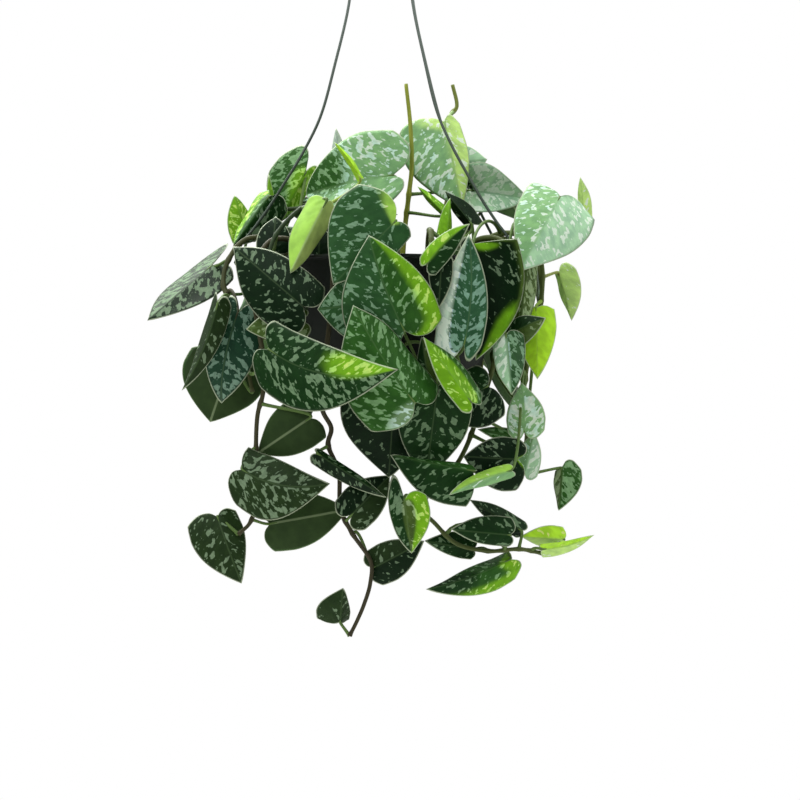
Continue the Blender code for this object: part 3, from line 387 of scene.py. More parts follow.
for reach, angle, middle, radius in holes:
    x, y = reach * math.cos(math.radians(angle)), reach * math.sin(math.radians(angle))
    peg = placed("peg", mesh_of("peg", *tube([(x, y, middle + rise) for rise in (-6, 0, 6)], radius, 24)))
    bore = pot.modifiers.new("bore", "BOOLEAN")
    bore.object = peg
    bore.solver = "EXACT"
    bored = bpy.data.meshes.new_from_object(pot.evaluated_get(bpy.context.evaluated_depsgraph_get()))
    pot.modifiers.clear()
    pot.data = bored
    bpy.data.objects.remove(peg)

# The soil
# Dark peat with bits of bark, filled to 12 mm under the rim and a little higher in the middle. Its top is
# rough with crumbs, and the stems stand in it.

SOIL_GAP = 0.3
SOIL_TOP = -18.0
SOIL_CROWN = -15.0
SOIL_RINGS = 40
SOIL_SEGMENTS = 120
SOIL_SEED = 5
ROUGH = 0.32
CRUMBS = 420

peat = Finish("peat")
dirt = peat.noise(peat.place(), 420.0, 6.0, 0.3, 0.65)
earth = peat.mix(peat.ramp(dirt, 0.35, 0.72), srgb(24, 17, 12), srgb(74, 56, 40))
peat.surface(Base_Color=earth, Roughness=0.95)
peat.bump(dirt, 0.0012)

bed = POT_BOTTOM + POT_FLOOR + SOIL_GAP
wall_there = inner_low + (SOIL_TOP - wall_low) / (RIM_TOP - wall_low) * (inner_top - inner_low)
soil_rim = wall_there - 1.2
top_rings = np.linspace(soil_rim, 0.0, SOIL_RINGS)
crown = SOIL_CROWN + (SOIL_TOP - SOIL_CROWN) * np.clip(top_rings / soil_rim, 0, 1) ** 3
soil_profile = [(0, bed), (inner_low - 4, bed), (inner_low - 1, POT_BOTTOM + 7), *zip(top_rings, crown)]
soil_verts, soil_faces = lathe(soil_profile, SOIL_SEGMENTS)
soil_draw = np.random.default_rng(SOIL_SEED)
on_top = (soil_verts[:, 2] > SOIL_TOP - 0.1) & (np.hypot(soil_verts[:, 0], soil_verts[:, 1]) < soil_rim - 1)
soil_verts[on_top, 2] += soil_draw.normal(0.0, ROUGH, on_top.sum())
crumb = bmesh.new()
bmesh.ops.create_icosphere(crumb, subdivisions=1, radius=1.0)
crumb_verts = np.array([v.co for v in crumb.verts])
crumb_faces = [[v.index for v in face.verts] for face in crumb.faces]
crumb.free()
reach = (soil_rim - 4) * np.sqrt(soil_draw.random(CRUMBS))
turn = 2 * np.pi * soil_draw.random(CRUMBS)
level = np.interp(reach, top_rings[::-1], crown[::-1])
middles = np.stack([reach * np.cos(turn), reach * np.sin(turn), level + 0.2], axis=1)
spread = soil_draw.uniform(0.6, 1.0, (CRUMBS, 1, 3)) * soil_draw.uniform(0.8, 2.6, (CRUMBS, 1, 1))
crumbs = middles[:, None] + crumb_verts * spread * soil_draw.uniform(0.75, 1.2, (CRUMBS, len(crumb_verts), 1))
bodies = [(soil_verts, soil_faces), *((verts, crumb_faces) for verts in crumbs)]
piece("soil_peat", *together(bodies), [peat], "potting_soil", "soil")

# The leafy stems
# Each stem stands in the soil, arches over the rim and hangs. From its knots grow grooved stalks, each with one
# heart-shaped leaf: a thin stiff blade, dark satin green with silver patches between its side veins, a pale
# margin, and a plain dull green underside. The CAD model holds the same leaves, coarser, and says where they are.

STEM_RADIUS = 2.0
STEM_FOOT = -34.0
STEM_OUT_OF_SOIL = -14.0
BLADE = 0.6

# The stems, each with the leaves that are seen on it. A stem: name, tone (None: the usual one), where it stands in
# the soil, the points that it runs through. A leaf: name, then where the stalk joins and where the tip is, each as
# x and z on the plane y = 0 and then the true y. Then its halves, left and right when looking from stalk to tip:
# width, angle at the midrib, angle at the edge (positive: away from the viewer), how far the lobe reaches back as
# a share of the length. Then how far the midrib bows toward the viewer and sways to the left. Then the green of
# both halves, or left/right, in which light and shade are often painted, how much of it the patches cover, and each
# part that shows another tone, mostly painted light where it is lit through or shines and painted shade in a
# hollow: the tone, then its middle and half size, across (-1 to 1) and along (0 at the stalk to 1 at the tip).
STEMS = (
    ("vine_front", None, (-8, -58), ((-9, -72, 8), (-8, -94, 8), (-6, -101, -7), (-3, -97, -35), (4, -93, -62),
     (12, -88, -86)), (
     ("front_centre", (22, -103, -123), (-21, -35, -126), (35, -4, 14, .13), (28, 34, 62, .1), 4, 2, "mid", .42,
      ("blotch", -.6, .1, .5, .2)),
     ("centre_big", (15, -53, -111), (-10, 14, -117), (33, -2, 8, .12), (28, 6, 20, .12), 4, 2, "sea/mid", .38,
      ("bright", 1, .5, .42, .6)),
     ("olive_fold", (43, -66, -100), (36, -30, -96), (9, 40, 60, .1), (12, 66, 70, .1), 3, -3, "olive", .15),
     ("dark_fold", (33, -96, -112), (27, -57, -108), (9, 30, 40, .1), (12, 20, 40, .1), 2, 0, "dark/olive", .1),
     ("dark_centre", (8, -96, -86), (4, -156, -68), (26, 10, 20, .14), (36, 6, 24, .12), 4, 0, "night", .22),
     ("centre_left", (-8, -34, -106), (-46, -38, -103), (24, 2, 8, .08), (20, 2, 8, .08), 1, 0, "sea", .7),
     ("curled_lobe", (9, 24, -102), (-35, -21, -109), (15, 4, 10, .05), (36, -2, 10, .16), 3, 0, "sea", .36,
      ("lime_back", .35, .08, .9, .17)))),
    ("vine_front_right", None, (30, -52), ((31, -64, 8), (32, -87, 9), (33, -96, -7), (34, -90, -34),
     (41, -84, -62), (50, -79, -92)), (
     ("bright_fold", (62, -103, -112), (28, -57, -114), (10, -12, -20, .1), (20, 58, 62, .1), 3, 0, "bright", .3,
      ("mid", .9, .4, .3, .6)),
     ("front_right_low", (38, -93, -99), (30, -157, -71), (25, 6, 20, .13), (25, 4, 18, .13), 4, 0, "dark", .32),
     # long_silver: its silver part along the left edge is a painted highlight, where the curling blade shines
     ("long_silver", (57, -62, -101), (60, 15, -97), (21, 8, 16, .16), (12, -6, -16, .16), 2, -3, "blue", .72,
      ("silver", -.85, .6, .28, .6)),
     ("right_edge_green", (31, -6, -108), (61, 22, -103), (7, 10, 30, .1), (10, 10, 20, .1), 2, 2, "bright/dark",
      .3),
     # gap_inner_right: a near-black leaf seen in a gap between leaves, its tone painted deep shade
     ("gap_inner_right", (41, -3, -101), (39, -38, -102), (8, 2, 4, .1), (8, 2, 4, .1), 1, 0, "night", .1),
     ("green_spike", (45, 12, -62), (47, 40, -54), (10, 40, 50, .1), (8, 70, 74, .1), 2, 0, "bright", .1),
     ("dark_behind", (62, 22, -52), (43, 45, -46), (10, 62, 66, .1), (16, 54, 60, .1), 1, 0, "night", .1),
     ("behind_low_right", (73, -92, -72), (38, -112, -74), (24, 6, 16, .14), (17, 6, 16, .14), 3, 0, "night/dark",
      .4))),
    ("vine_right", (98, 112, 60), (58, -22), ((70, -26, 8), (92, -33, 12), (107, -38, -4), (108, -38, -34),
     (100, -36, -70), (96, -34, -104), (99, -33, -130), (101, -32, -152)), (
     # cupped: its near-black tone is painted shade in the hollow of the cup, and two parts are painted light where
     # its inner side and its lower end are lit through
     ("cupped", (63, 8, -88), (65, -74, -93), (38, 14, -80, .02), (9, -2, -6, .06), -2, 3, "night", .1,
      ("bright", -.42, .14, .34, .16), ("bright", -.9, .86, .4, .14), ("olive", -1, .45, .16, .4)),
     ("right_big", (124, 41, -38), (95, -12, -80), (30, 4, 14, .13), (24, 8, 20, .1), 7, 0, "pale_blue/pale_mid",
      .42),
     ("streaked", (101, -3, -62), (94, -66, -68), (14, 46, 56, .08), (14, 46, 56, .08), 2, 0, "olive", .8),
     ("long_pale", (86, -56, -93), (90, -98, -98), (16, 34, 44, .1), (12, 30, 44, .08), 2, 0, "sea/pale_blue", .6),
     ("dark_hook", (88, -57, -77), (114, -44, -82), (11, 36, 50, .1), (13, -30, -40, .1), 2, 1, "dark/olive", .3),
     ("lime", (107, -37, -58), (108, -87, -64), (15, 16, 34, .04), (15, 20, 34, .06), 3, 0, "lime", -.6),
     ("pale_hanging", (123, -13, -14), (132, -46, -20), (14, 10, 24, .22), (9, 72, 80, .05), 2, 0, "pale_lime", 0),
     ("white_mottled", (99, -124, -56), (97, -89, -62), (12, 10, 20, .17), (15, 8, 20, .17), 4, 0, "pale_mid", .7),
     ("silver_behind", (99, -153, -34), (106, -124, -38), (10, 20, 30, .1), (10, 12, 24, .14), 2, 0,
      "pale_mid/pale_blue", .6),
     ("small_far_right", (125, -149, -22), (123, -179, -30), (15, 6, 20, .26), (12, 70, 74, .06), 3, 0, "mid/olive",
      .9),
     ("rolled_pale", (90, -151, -90), (46, -168, -98), (12, 58, 66, .06), (9, 40, 74, .06), 2, -2,
      "pale_mid/lime_back", .1))),
    ("vine_right_back", None, (48, 22), ((62, 27, 8), (88, 34, 14), (108, 30, 0), (112, 28, -30), (104, 26, -66)), (
     ("right_curl", (141, 26, 2), (138, 55, -2), (7, 60, 70, .1), (8, 30, 40, .1), 1, 0, "pale_lime", .1),)),
    ("vine_left", (76, 80, 50), (-58, -22), ((-72, -26, 6), (-92, -33, 9), (-105, -37, -6), (-108, -42, -24),
     (-101, -48, -38), (-94, -48, -66), (-88, -46, -96)), (
     ("front_left_big", (-80, -66, -112), (11, -80, -152), (20, 4, 12, .06), (27, -6, 10, .13), 4, -10, "dark", .46,
      ("bright", -.5, .86, .6, .17)),
     ("dark_left", (-56, -36, -106), (-105, 6, -80), (25, 8, 20, .12), (20, 4, 24, .1), 5, 0, "night", .34),
     ("below_dark", (-58, -46, -90), (-96, -52, -84), (13, 8, 20, .16), (11, 8, 20, .16), 3, 0, "olive", .55),
     ("left_edge", (-116, -34, -84), (-141, -95, -78), (12, 36, 46, .1), (12, 60, 66, .1), 2, 3, "moss", .15),
     ("left_blue", (-102, -41, -66), (-113, -104, -42), (21, 4, 16, .12), (16, 4, 14, .14), 10, -2, "slate", .52),
     ("left_under", (-106, -75, -30), (-121, -117, -30), (27, 10, 20, .12), (32, 6, 16, .12), 4, 0, "olive_back",
      0),
     ("far_left", (-121, -8, -24), (-165, -46, -52), (22, -28, -34, .14), (25, 62, 64, .45), 1, 0, "night/dark",
      .7))),
    ("vine_top_left", (52, 70, 42), (-34, -34), ((-37, -40, 10), (-42, -52, 26), (-54, -66, 26), (-70, -77, 8),
     (-76, -82, -12)), (
     ("pale_back", (-40, 37, -83), (-65, -13, -99), (18, 60, 70, .1), (18, 30, 56, .08), 3, 0,
      "pale_back/lime_back", 0),
     ("top_left_big", (7, 56, -34), (-54, 42, 2), (24, -30, -40, .1), (34, 8, 20, .14), 13, 0, "pale_mid", .52,
      ("mid", .4, .85, .8, .2)),
     ("rolled_young", (-16, 54, -52), (-34, 79, -50), (10, 72, 80, .04), (10, 70, 84, .04), 2, -1, "lime", -.6),
     # gap_top and gap_inner_left: near-black leaves seen in gaps between leaves, their tone painted deep shade
     ("gap_top", (-45, -3, -64), (-44, 21, -53), (11, 4, 12, .1), (11, 4, 12, .1), 2, 0, "night", .1),
     ("gap_inner_left", (-77, 4, -56), (-75, 27, -46), (12, 6, 14, .1), (12, 6, 14, .1), 2, 0, "night", .1))),
    ("vine_top_back", (58, 76, 44), (-26, 6), ((-30, 10, 16), (-46, 22, 32), (-74, 32, 34), (-98, 30, 18),
     (-105, 26, -4)), (
     ("left_folded", (-80, 41, 8), (-105, 6, 6), (20, 30, 44, .14), (18, 60, 66, .1), 2, 0, "dark/mid", .45,
      ("bright", .8, .5, .4, .6)),
     ("top_left_lobed", (-54, 58, 16), (-73, 21, 14), (14, 56, 62, .2), (24, 6, 16, .42), 3, 0, "mid", .7,
      ("bright", -.4, .4, .7, .5)),
     ("edge_on", (-73, 4, 6), (-80, 57, 6), (8, 54, 60, .08), (8, 54, 60, .08), 1, 1, "bright", .2),
     ("left_small", (-95, 12, 20), (-104, 42, 20), (12, 6, 16, .12), (12, 46, 54, .12), 2, 0, "bright", .7),
     ("top_left_behind", (-30, 58, 20), (-33, 89, 16), (9, 50, 60, .1), (9, 50, 60, .1), 2, 0, "silver", .4))),
    ("vine_shoot", (150, 160, 62), (13, -22), ((15, -23, 14), (18, -24, 40), (20, -24, 60), (19, -24, 88),
     (16, -24, 116)), (
     # top_right_fold: its pale tone is green washed by painted sheen, and its one part is painted shade in the dark
     # hollow of the fold
     ("top_right_fold", (62, 45, -8), (102, 39, -22), (24, -40, -44, .12), (19, -30, -36, .2), 2, 0, "pale_blue",
      .8, ("night", -.3, .12, .5, .14)),
     ("green_strip", (42, 30, -42), (24, 48, -36), (9, 76, 80, .1), (11, 62, 66, .1), 1, 0, "bright", .1))),
    ("vine_top_right", (128, 140, 66), (36, -4), ((40, -2, 16), (46, 4, 44), (50, 8, 74), (47, 10, 97),
     (52, 11, 106), (49, 12, 121)), (
     ("top_big", (43, 93, -6), (56, 31, -24), (14, 26, 40, .1), (34, 4, 14, .12), 4, 0, "pale_lime/pale_mid", .42,
      ("pale_lime", -.2, .12, 1.2, .22)),
     ("top_right_small", (44, 64, 36), (73, 67, 34), (15, 20, 30, .1), (17, 14, 20, .1), 2, 0, "pale_blue", .35))),
    ("trail_left", (70, 68, 46), (-50, -46), ((-58, -54, 4), (-73, -68, 5), (-82, -76, -10), (-84, -74, -40),
     (-79, -62, -76), (-80, -56, -96), (-84, -54, -112), (-85, -54, -134), (-84, -54, -160), (-88, -54, -182),
     (-97, -52, -192)), (
     ("left_trail_big", (-99, -150, -64), (-37, -160, -78), (18, 16, 34, .02), (26, -6, 14, .14), 5, -6, "moss",
      .5),
     ("left_heart", (-116, -183, -50), (-99, -230, -56), (15, 20, 34, .07), (23, 4, 18, .12), 4, 0, "moss", .4),
     ("left_back_pale", (-79, -188, -42), (-24, -178, -40), (20, 10, 20, .08), (21, 8, 14, .1), 4, 0, "olive_back",
      0),
     ("left_back_dark", (-51, -114, -62), (-88, -139, -50), (18, 10, 20, .08), (18, 8, 14, .14), 3, 0, "olive_back",
      0))),
    ("trail_centre", (66, 62, 44), (-28, -56), ((-29, -70, 5), (-30, -90, 6), (-31, -98, -8), (-33, -91, -40),
     (-38, -80, -80), (-40, -72, -106), (-34, -66, -120), (-36, -64, -132), (-29, -62, -150), (-28, -60, -174),
     (-20, -60, -191), (-8, -60, -209), (-8, -60, -224), (-12, -58, -238), (-17, -56, -250), (-22, -55, -260)), (
     ("narrow_diag", (-46, -139, -74), (3, -170, -78), (6, 50, 60, .06), (10, 30, 42, .06), 3, 0, "dark/night",
      .45),
     ("dark_low_centre", (-22, -182, -67), (5, -154, -59), (15, 2, 10, .16), (14, 2, 8, .16), 2, 0, "night/moss",
      .35),
     ("low_centre", (-7, -219, -64), (29, -200, -70), (13, 12, 24, .1), (15, 6, 20, .12), 3, 0, "moss/night", .25),
     ("low_small", (-30, -257, -52), (-28, -233, -58), (17, 6, 14, .08), (9, 44, 56, .06), 2, 0, "moss", .2))),
    ("trail_right", None, (52, -40), ((62, -50, 5), (78, -62, 6), (87, -66, -8), (84, -64, -40), (74, -60, -80),
     (64, -58, -112), (55, -56, -136), (42, -56, -156), (26, -56, -172), (36, -57, -185), (50, -58, -198),
     (71, -56, -203), (92, -52, -202), (108, -49, -205)), (
     ("narrow_vertical", (15, -171, -101), (20, -209, -98), (16, 4, 20, .12), (12, 16, 34, .44), 3, 0,
      "bright/dark", .42, ("olive", -.1, .6, .3, .5)),
     ("fold_wide", (63, -151, -89), (5, -140, -92), (26, 4, 22, .06), (11, 74, 80, .06), 3, 0, "dark/mid", .25),
     ("dark_round", (94, -143, -76), (56, -141, -80), (22, 4, 16, .18), (15, 8, 18, .18), 3, 0, "night", .28,
      ("bright", -.2, 0, 1.4, .13)),
     ("strip_behind", (92, -127, -50), (66, -122, -54), (5, 10, 20, .1), (5, 10, 20, .1), 1, 0, "mid", .9),
     ("right_dark", (89, -196, -66), (47, -192, -74), (9, 12, 30, .08), (13, 18, 30, .1), 2, 0, "dark", .3),
     ("right_dark_low", (63, -206, -56), (29, -200, -60), (8, 12, 30, .08), (11, 18, 30, .08), 2, 0, "dark", .4),
     ("right_dark_diag", (97, -193, -52), (60, -171, -56), (9, 44, 50, .08), (11, 48, 54, .08), 1, 0, "night/dark",
      .2),
     ("bright_young", (127, -199, -36), (96, -197, -46), (8, 30, 40, .06), (10, 24, 36, .06), 2, 0,
      "pale_lime/lime", .1),
     ("rolled_far", (112, -206, -50), (148, -196, -44), (7, 50, 70, .04), (9, 56, 40, .04), 0, -2, "lime/pale_lime",
      .1),
     ("bottom_green", (89, -213, -50), (30, -234, -62), (17, 18, 34, .12), (14, 66, 72, .05), 3, 2, "mid", .3,
      ("bright", 0, .15, 1, .25), ("bright", -1, .45, .45, .5), ("dark", 0, .95, 1.2, .3)))),
    ("vine_back_left", None, (-44, 44), ((-54, 54, 8), (-70, 70, 12), (-80, 80, -6), (-80, 80, -40), (-74, 74, -74),
     (-72, 72, -110)), ()),
    ("vine_back", None, (9, 56), ((11, 70, 10), (14, 96, 13), (12, 110, -6), (8, 108, -42), (2, 98, -78),
     (-4, 92, -116)), ()),
    ("vine_back_right", None, (42, 48), ((50, 60, 8), (66, 74, 12), (76, 84, -6), (78, 82, -40), (72, 76, -76),
     (68, 70, -116)), ()),
)

# These turn their undersides to the viewer.
UNDERSIDE = ("pale_back", "left_under", "left_back_pale", "left_back_dark")

# Leaves that no one sees from the front, placed by a rule round the sides and the back: the stem, how many,
# between which shares of the stem; then, as a middle and a spread in degrees, the way the stalk goes and the
# way the blade faces; then, as ranges, how far the stalk goes out and up, and how steeply the blade falls.
HIDDEN = [(stem, 4, (0.05, 0.25), (way, 120), (way - 30, 100), (10, 42), (22, 64), (-20, 50))
          for stem, way in (("vine_back_left", 180), ("vine_back", 150), ("vine_back_right", 90))]
HIDDEN += [(stem, 6, (0.38, 0.98), (way, 70), (way, 40), (14, 44), (0, 26), (20, 85))
           for stem, way in (("vine_back_left", 140), ("vine_back", 90), ("vine_back_right", 50))]
HIDDEN += [
    ("vine_right_back", 4, (0.30, 0.98), (80, 70), (25, 30), (8, 30), (-5, 20), (35, 85)),
    ("vine_right", 4, (0.28, 0.70), (85, 22), (5, 25), (24, 60), (-5, 20), (45, 85)),
    ("vine_left", 5, (0.28, 0.80), (98, 22), (180, 25), (24, 78), (-5, 20), (45, 85)),
]
HIDDEN_TONES = ("dark", "sea/dark", "mid/dark", "mid", "olive/dark", "dark/sea")

# The greens, given as they look on a screen, and many of them hold painted light and shade: "night" is painted
# deep shade, and "dark" a deep green darkened by painted shade; "bright", "lime", "pale_lime" and "lime_back" are
# green with painted light shining through it, where "lime" and "pale_lime" are also the young leaves' own pale
# green;
# "pale_blue", "pale_mid" and "silver" are green washed pale by painted sheen.
GREENS_WITH_PAINTED_LIGHT = {name: np.array(srgb(*tone)[:3]) for name, tone in {
    "night": (12, 36, 14), "dark": (20, 54, 18), "moss": (38, 58, 28), "slate": (30, 66, 46), "blue": (48, 92, 60),
    "sea": (46, 88, 46), "mid": (46, 92, 32), "olive": (74, 98, 42), "bright": (120, 180, 30),
    "lime": (184, 240, 52), "pale_lime": (192, 230, 130), "pale_mid": (130, 178, 120), "pale_blue": (166, 208, 168),
    "silver": (206, 230, 210), "blotch": (120, 154, 110), "olive_back": (50, 72, 36), "lime_back": (160, 210, 84),
    "pale_back": (180, 206, 116), "plain_back": (80, 112, 62)}.items()}

# The outline of a leaf, from the stalk round a lobe to the tip: how far along and how far out its edge is, and
# how far along the midrib the row of the sheet starts that ends there.
EDGE_AT = (0.0, 0.09, 0.19, 0.32, 0.46, 0.58, 0.70, 0.82, 0.91, 1.0)
EDGE_ALONG = (0.0, -0.77, -1.0, -0.46, 0.10, 0.30, 0.52, 0.72, 0.87, 1.0)
EDGE_OUT = (0.0, 0.20, 0.50, 0.84, 0.99, 1.0, 0.86, 0.58, 0.29, 0.0)
RIB_AT = (0.0, 0.02, 0.05, 0.10, 0.19, 0.31, 0.45, 0.64, 0.82, 1.0)


def eased(v, at, values):
    """A smooth line through the values: in each span a cubic with the slopes of the points' own line."""
    at, values = np.array(at), np.array(values)
    slope = np.gradient(values, at)
    k = np.clip(np.searchsorted(at, v, "right") - 1, 0, len(at) - 2)
    step = at[k + 1] - at[k]
    t = (v - at[k]) / step
    return ((2 * t**3 - 3 * t**2 + 1) * values[k] + (t**3 - 2 * t**2 + t) * step * slope[k]
            + (3 * t**2 - 2 * t**3) * values[k + 1] + (t**3 - t**2) * step * slope[k + 1])


def turned_in(share, first, last):
    """How far out and how far back a half of a blade is at this share of its width, when its slope turns evenly
    from the first angle at the midrib to the last at the edge: the integrals of its cosine and sine."""
    a, b = np.radians(first), np.radians(last)
    bend = np.where(np.abs(b - a) < 1e-4, 1e-4, b - a)
    return ((np.sin(a + bend * share) - np.sin(a)) / bend, (np.cos(a) - np.cos(a + bend * share)) / bend)


def sight(x, z, depth):
    """The point at this depth that is seen at x, z on the plane y = 0."""
    return EYE + (np.array([x, 0.0, z]) - EYE) * (depth - EYE[1]) / -EYE[1]


def seen_leaf(row, shift):
    """A leaf of the table, moved this far along the line of sight: its ends and the ways its sheet spreads."""
    name, base_at, tip_at, left, right, bow, sway, *look = row
    base = sight(base_at[0], base_at[1], base_at[2] + shift)
    tip = sight(tip_at[0], tip_at[1], tip_at[2] + shift)
    chord = tip - base
    side = unit(np.array([-chord[2], 0.0, chord[0]]))
    toward = unit(np.array([0.0, -1.0, 0.0]) + chord * chord[1] / chord.dot(chord))
    return dict(name=name, base=base, tip=tip, side=side, toward=toward, left=left, right=right, bow=bow, sway=sway,
                look=look, seen=True)


def drawn_leaf(knot, draw, ranges):
    """A leaf for the sides or the back, from the random draws: it faces up and out."""
    way, face, reach, rise, fall = ranges
    turns = []
    for middle, spread in (way, face):
        turn = math.radians(middle + draw.uniform(-spread, spread))
        turns.append(np.array([math.cos(turn), math.sin(turn), 0.0]))
    base = knot + turns[0] * draw.uniform(*reach) + np.array([0, 0, draw.uniform(*rise)])
    length = draw.uniform(56, 82)
    fall = math.radians(draw.uniform(*fall))
    tip = base + (turns[1] * math.cos(fall) - np.array([0, 0, math.sin(fall)])) * length
    width = length * draw.uniform(0.38, 0.46)
    cup = draw.uniform(-8, 24)
    side = -unit(np.cross(tip - base, (0.0, 0.0, 1.0)))
    toward = unit(np.cross(tip - base, side))
    half = (width, cup, cup + 14, 0.14)
    return dict(name=None, base=base, tip=tip, side=side, toward=toward, left=half, right=half, bow=4.0, sway=0.0,
                seen=False)


def sheet(leaf, v, u):
    """The middle sheet of a leaf on the grid of v, from stalk to tip, and u, from its left edge to its right: a
    row runs from a point of the midrib to the outline, bent down by the half's angles, and the whole bows."""
    v, u = np.array(v, float)[:, None], np.array(u, float)[None, :]
    along, out, rib = (eased(v, EDGE_AT, values) for values in (EDGE_ALONG, EDGE_OUT, RIB_AT))
    width, first, last, lobe = (np.where(u < 0, a, b) for a, b in zip(leaf["left"], leaf["right"]))
    edge = np.where(along < 0, along * lobe, along)
    at = rib + (edge - rib) * np.abs(u)
    arc = 4 * at * (1 - at)
    aside, back = turned_in(np.abs(u) * out, first, last)
    shares = np.stack([at, width * aside * np.where(u < 0, 1, -1) + leaf["sway"] * arc,
                       leaf["bow"] * arc - width * back], axis=-1)
    chord = leaf["tip"] - leaf["base"]
    flat = np.stack([width * np.abs(u) * out * np.sign(u), at * np.linalg.norm(chord)], axis=-1)
    return leaf["base"] + shares @ np.stack([chord, leaf["side"], leaf["toward"]]), flat


def misfit(leaf, rows, solid, most=4.0):
    """How far the nearest points of the CAD solid are from both edges of a leaf at these rows, on average, where
    no point counts for more than the most."""
    points = sheet(leaf, rows, (-1.0, 1.0))[0].reshape(-1, 3)
    gaps = np.linalg.norm(points[:, None] - solid[None], axis=-1).min(axis=1)
    return np.minimum(gaps, most).mean()


def stalk_ends(leaf, turned):
    """Where the stalk meets the blade, the way the midrib starts, a point under it, and the way down."""
    points, _ = sheet(leaf, (0.0, 0.15, 0.30), (-1.0, 0.0, 1.0))
    base, inside = points[0, 1], points[2, 1]
    along = unit(inside - base)
    under = unit(np.cross(along, points[2, 2] - points[2, 0]))
    away = under[1] > 0 if leaf["seen"] else under[2] < 0
    return base, inside, along, -under if away == turned else under


def stalk_way(ends, start, lift, t):
    """A leaf's stalk: a cubic curve out of its stem and along the underside of the midrib to the blade."""
    base, _, along, under = ends
    span = np.linalg.norm(base - start)
    second = start + (base - start) * 0.35 + np.array([0.0, 0.0, lift]) * span
    third = base - along * span * 0.20 + under * span * 0.22
    end = base + under * 0.4
    t = np.asarray(t, float)[:, None]
    s = 1 - t
    return s**3 * start + 3 * s * s * t * second + 3 * s * t * t * third + t**3 * end


# How a blade is worked: its margin's waves, the slant and the dents of its side veins, the depth and width of the
# groove in its midrib, and how near the margin its thickness runs out.
MARGIN_WAVE = 0.9
VEIN_SLANT = 0.7
VEIN_PRESS = 0.22
RIB_GROOVE = 0.5
RIB_WIDTH = 1.2
THIN_EDGE = 0.9
USUAL_WIDTH = 26.0
SEEDS = 900.0
FAR_FROM_EDGE = 9.0


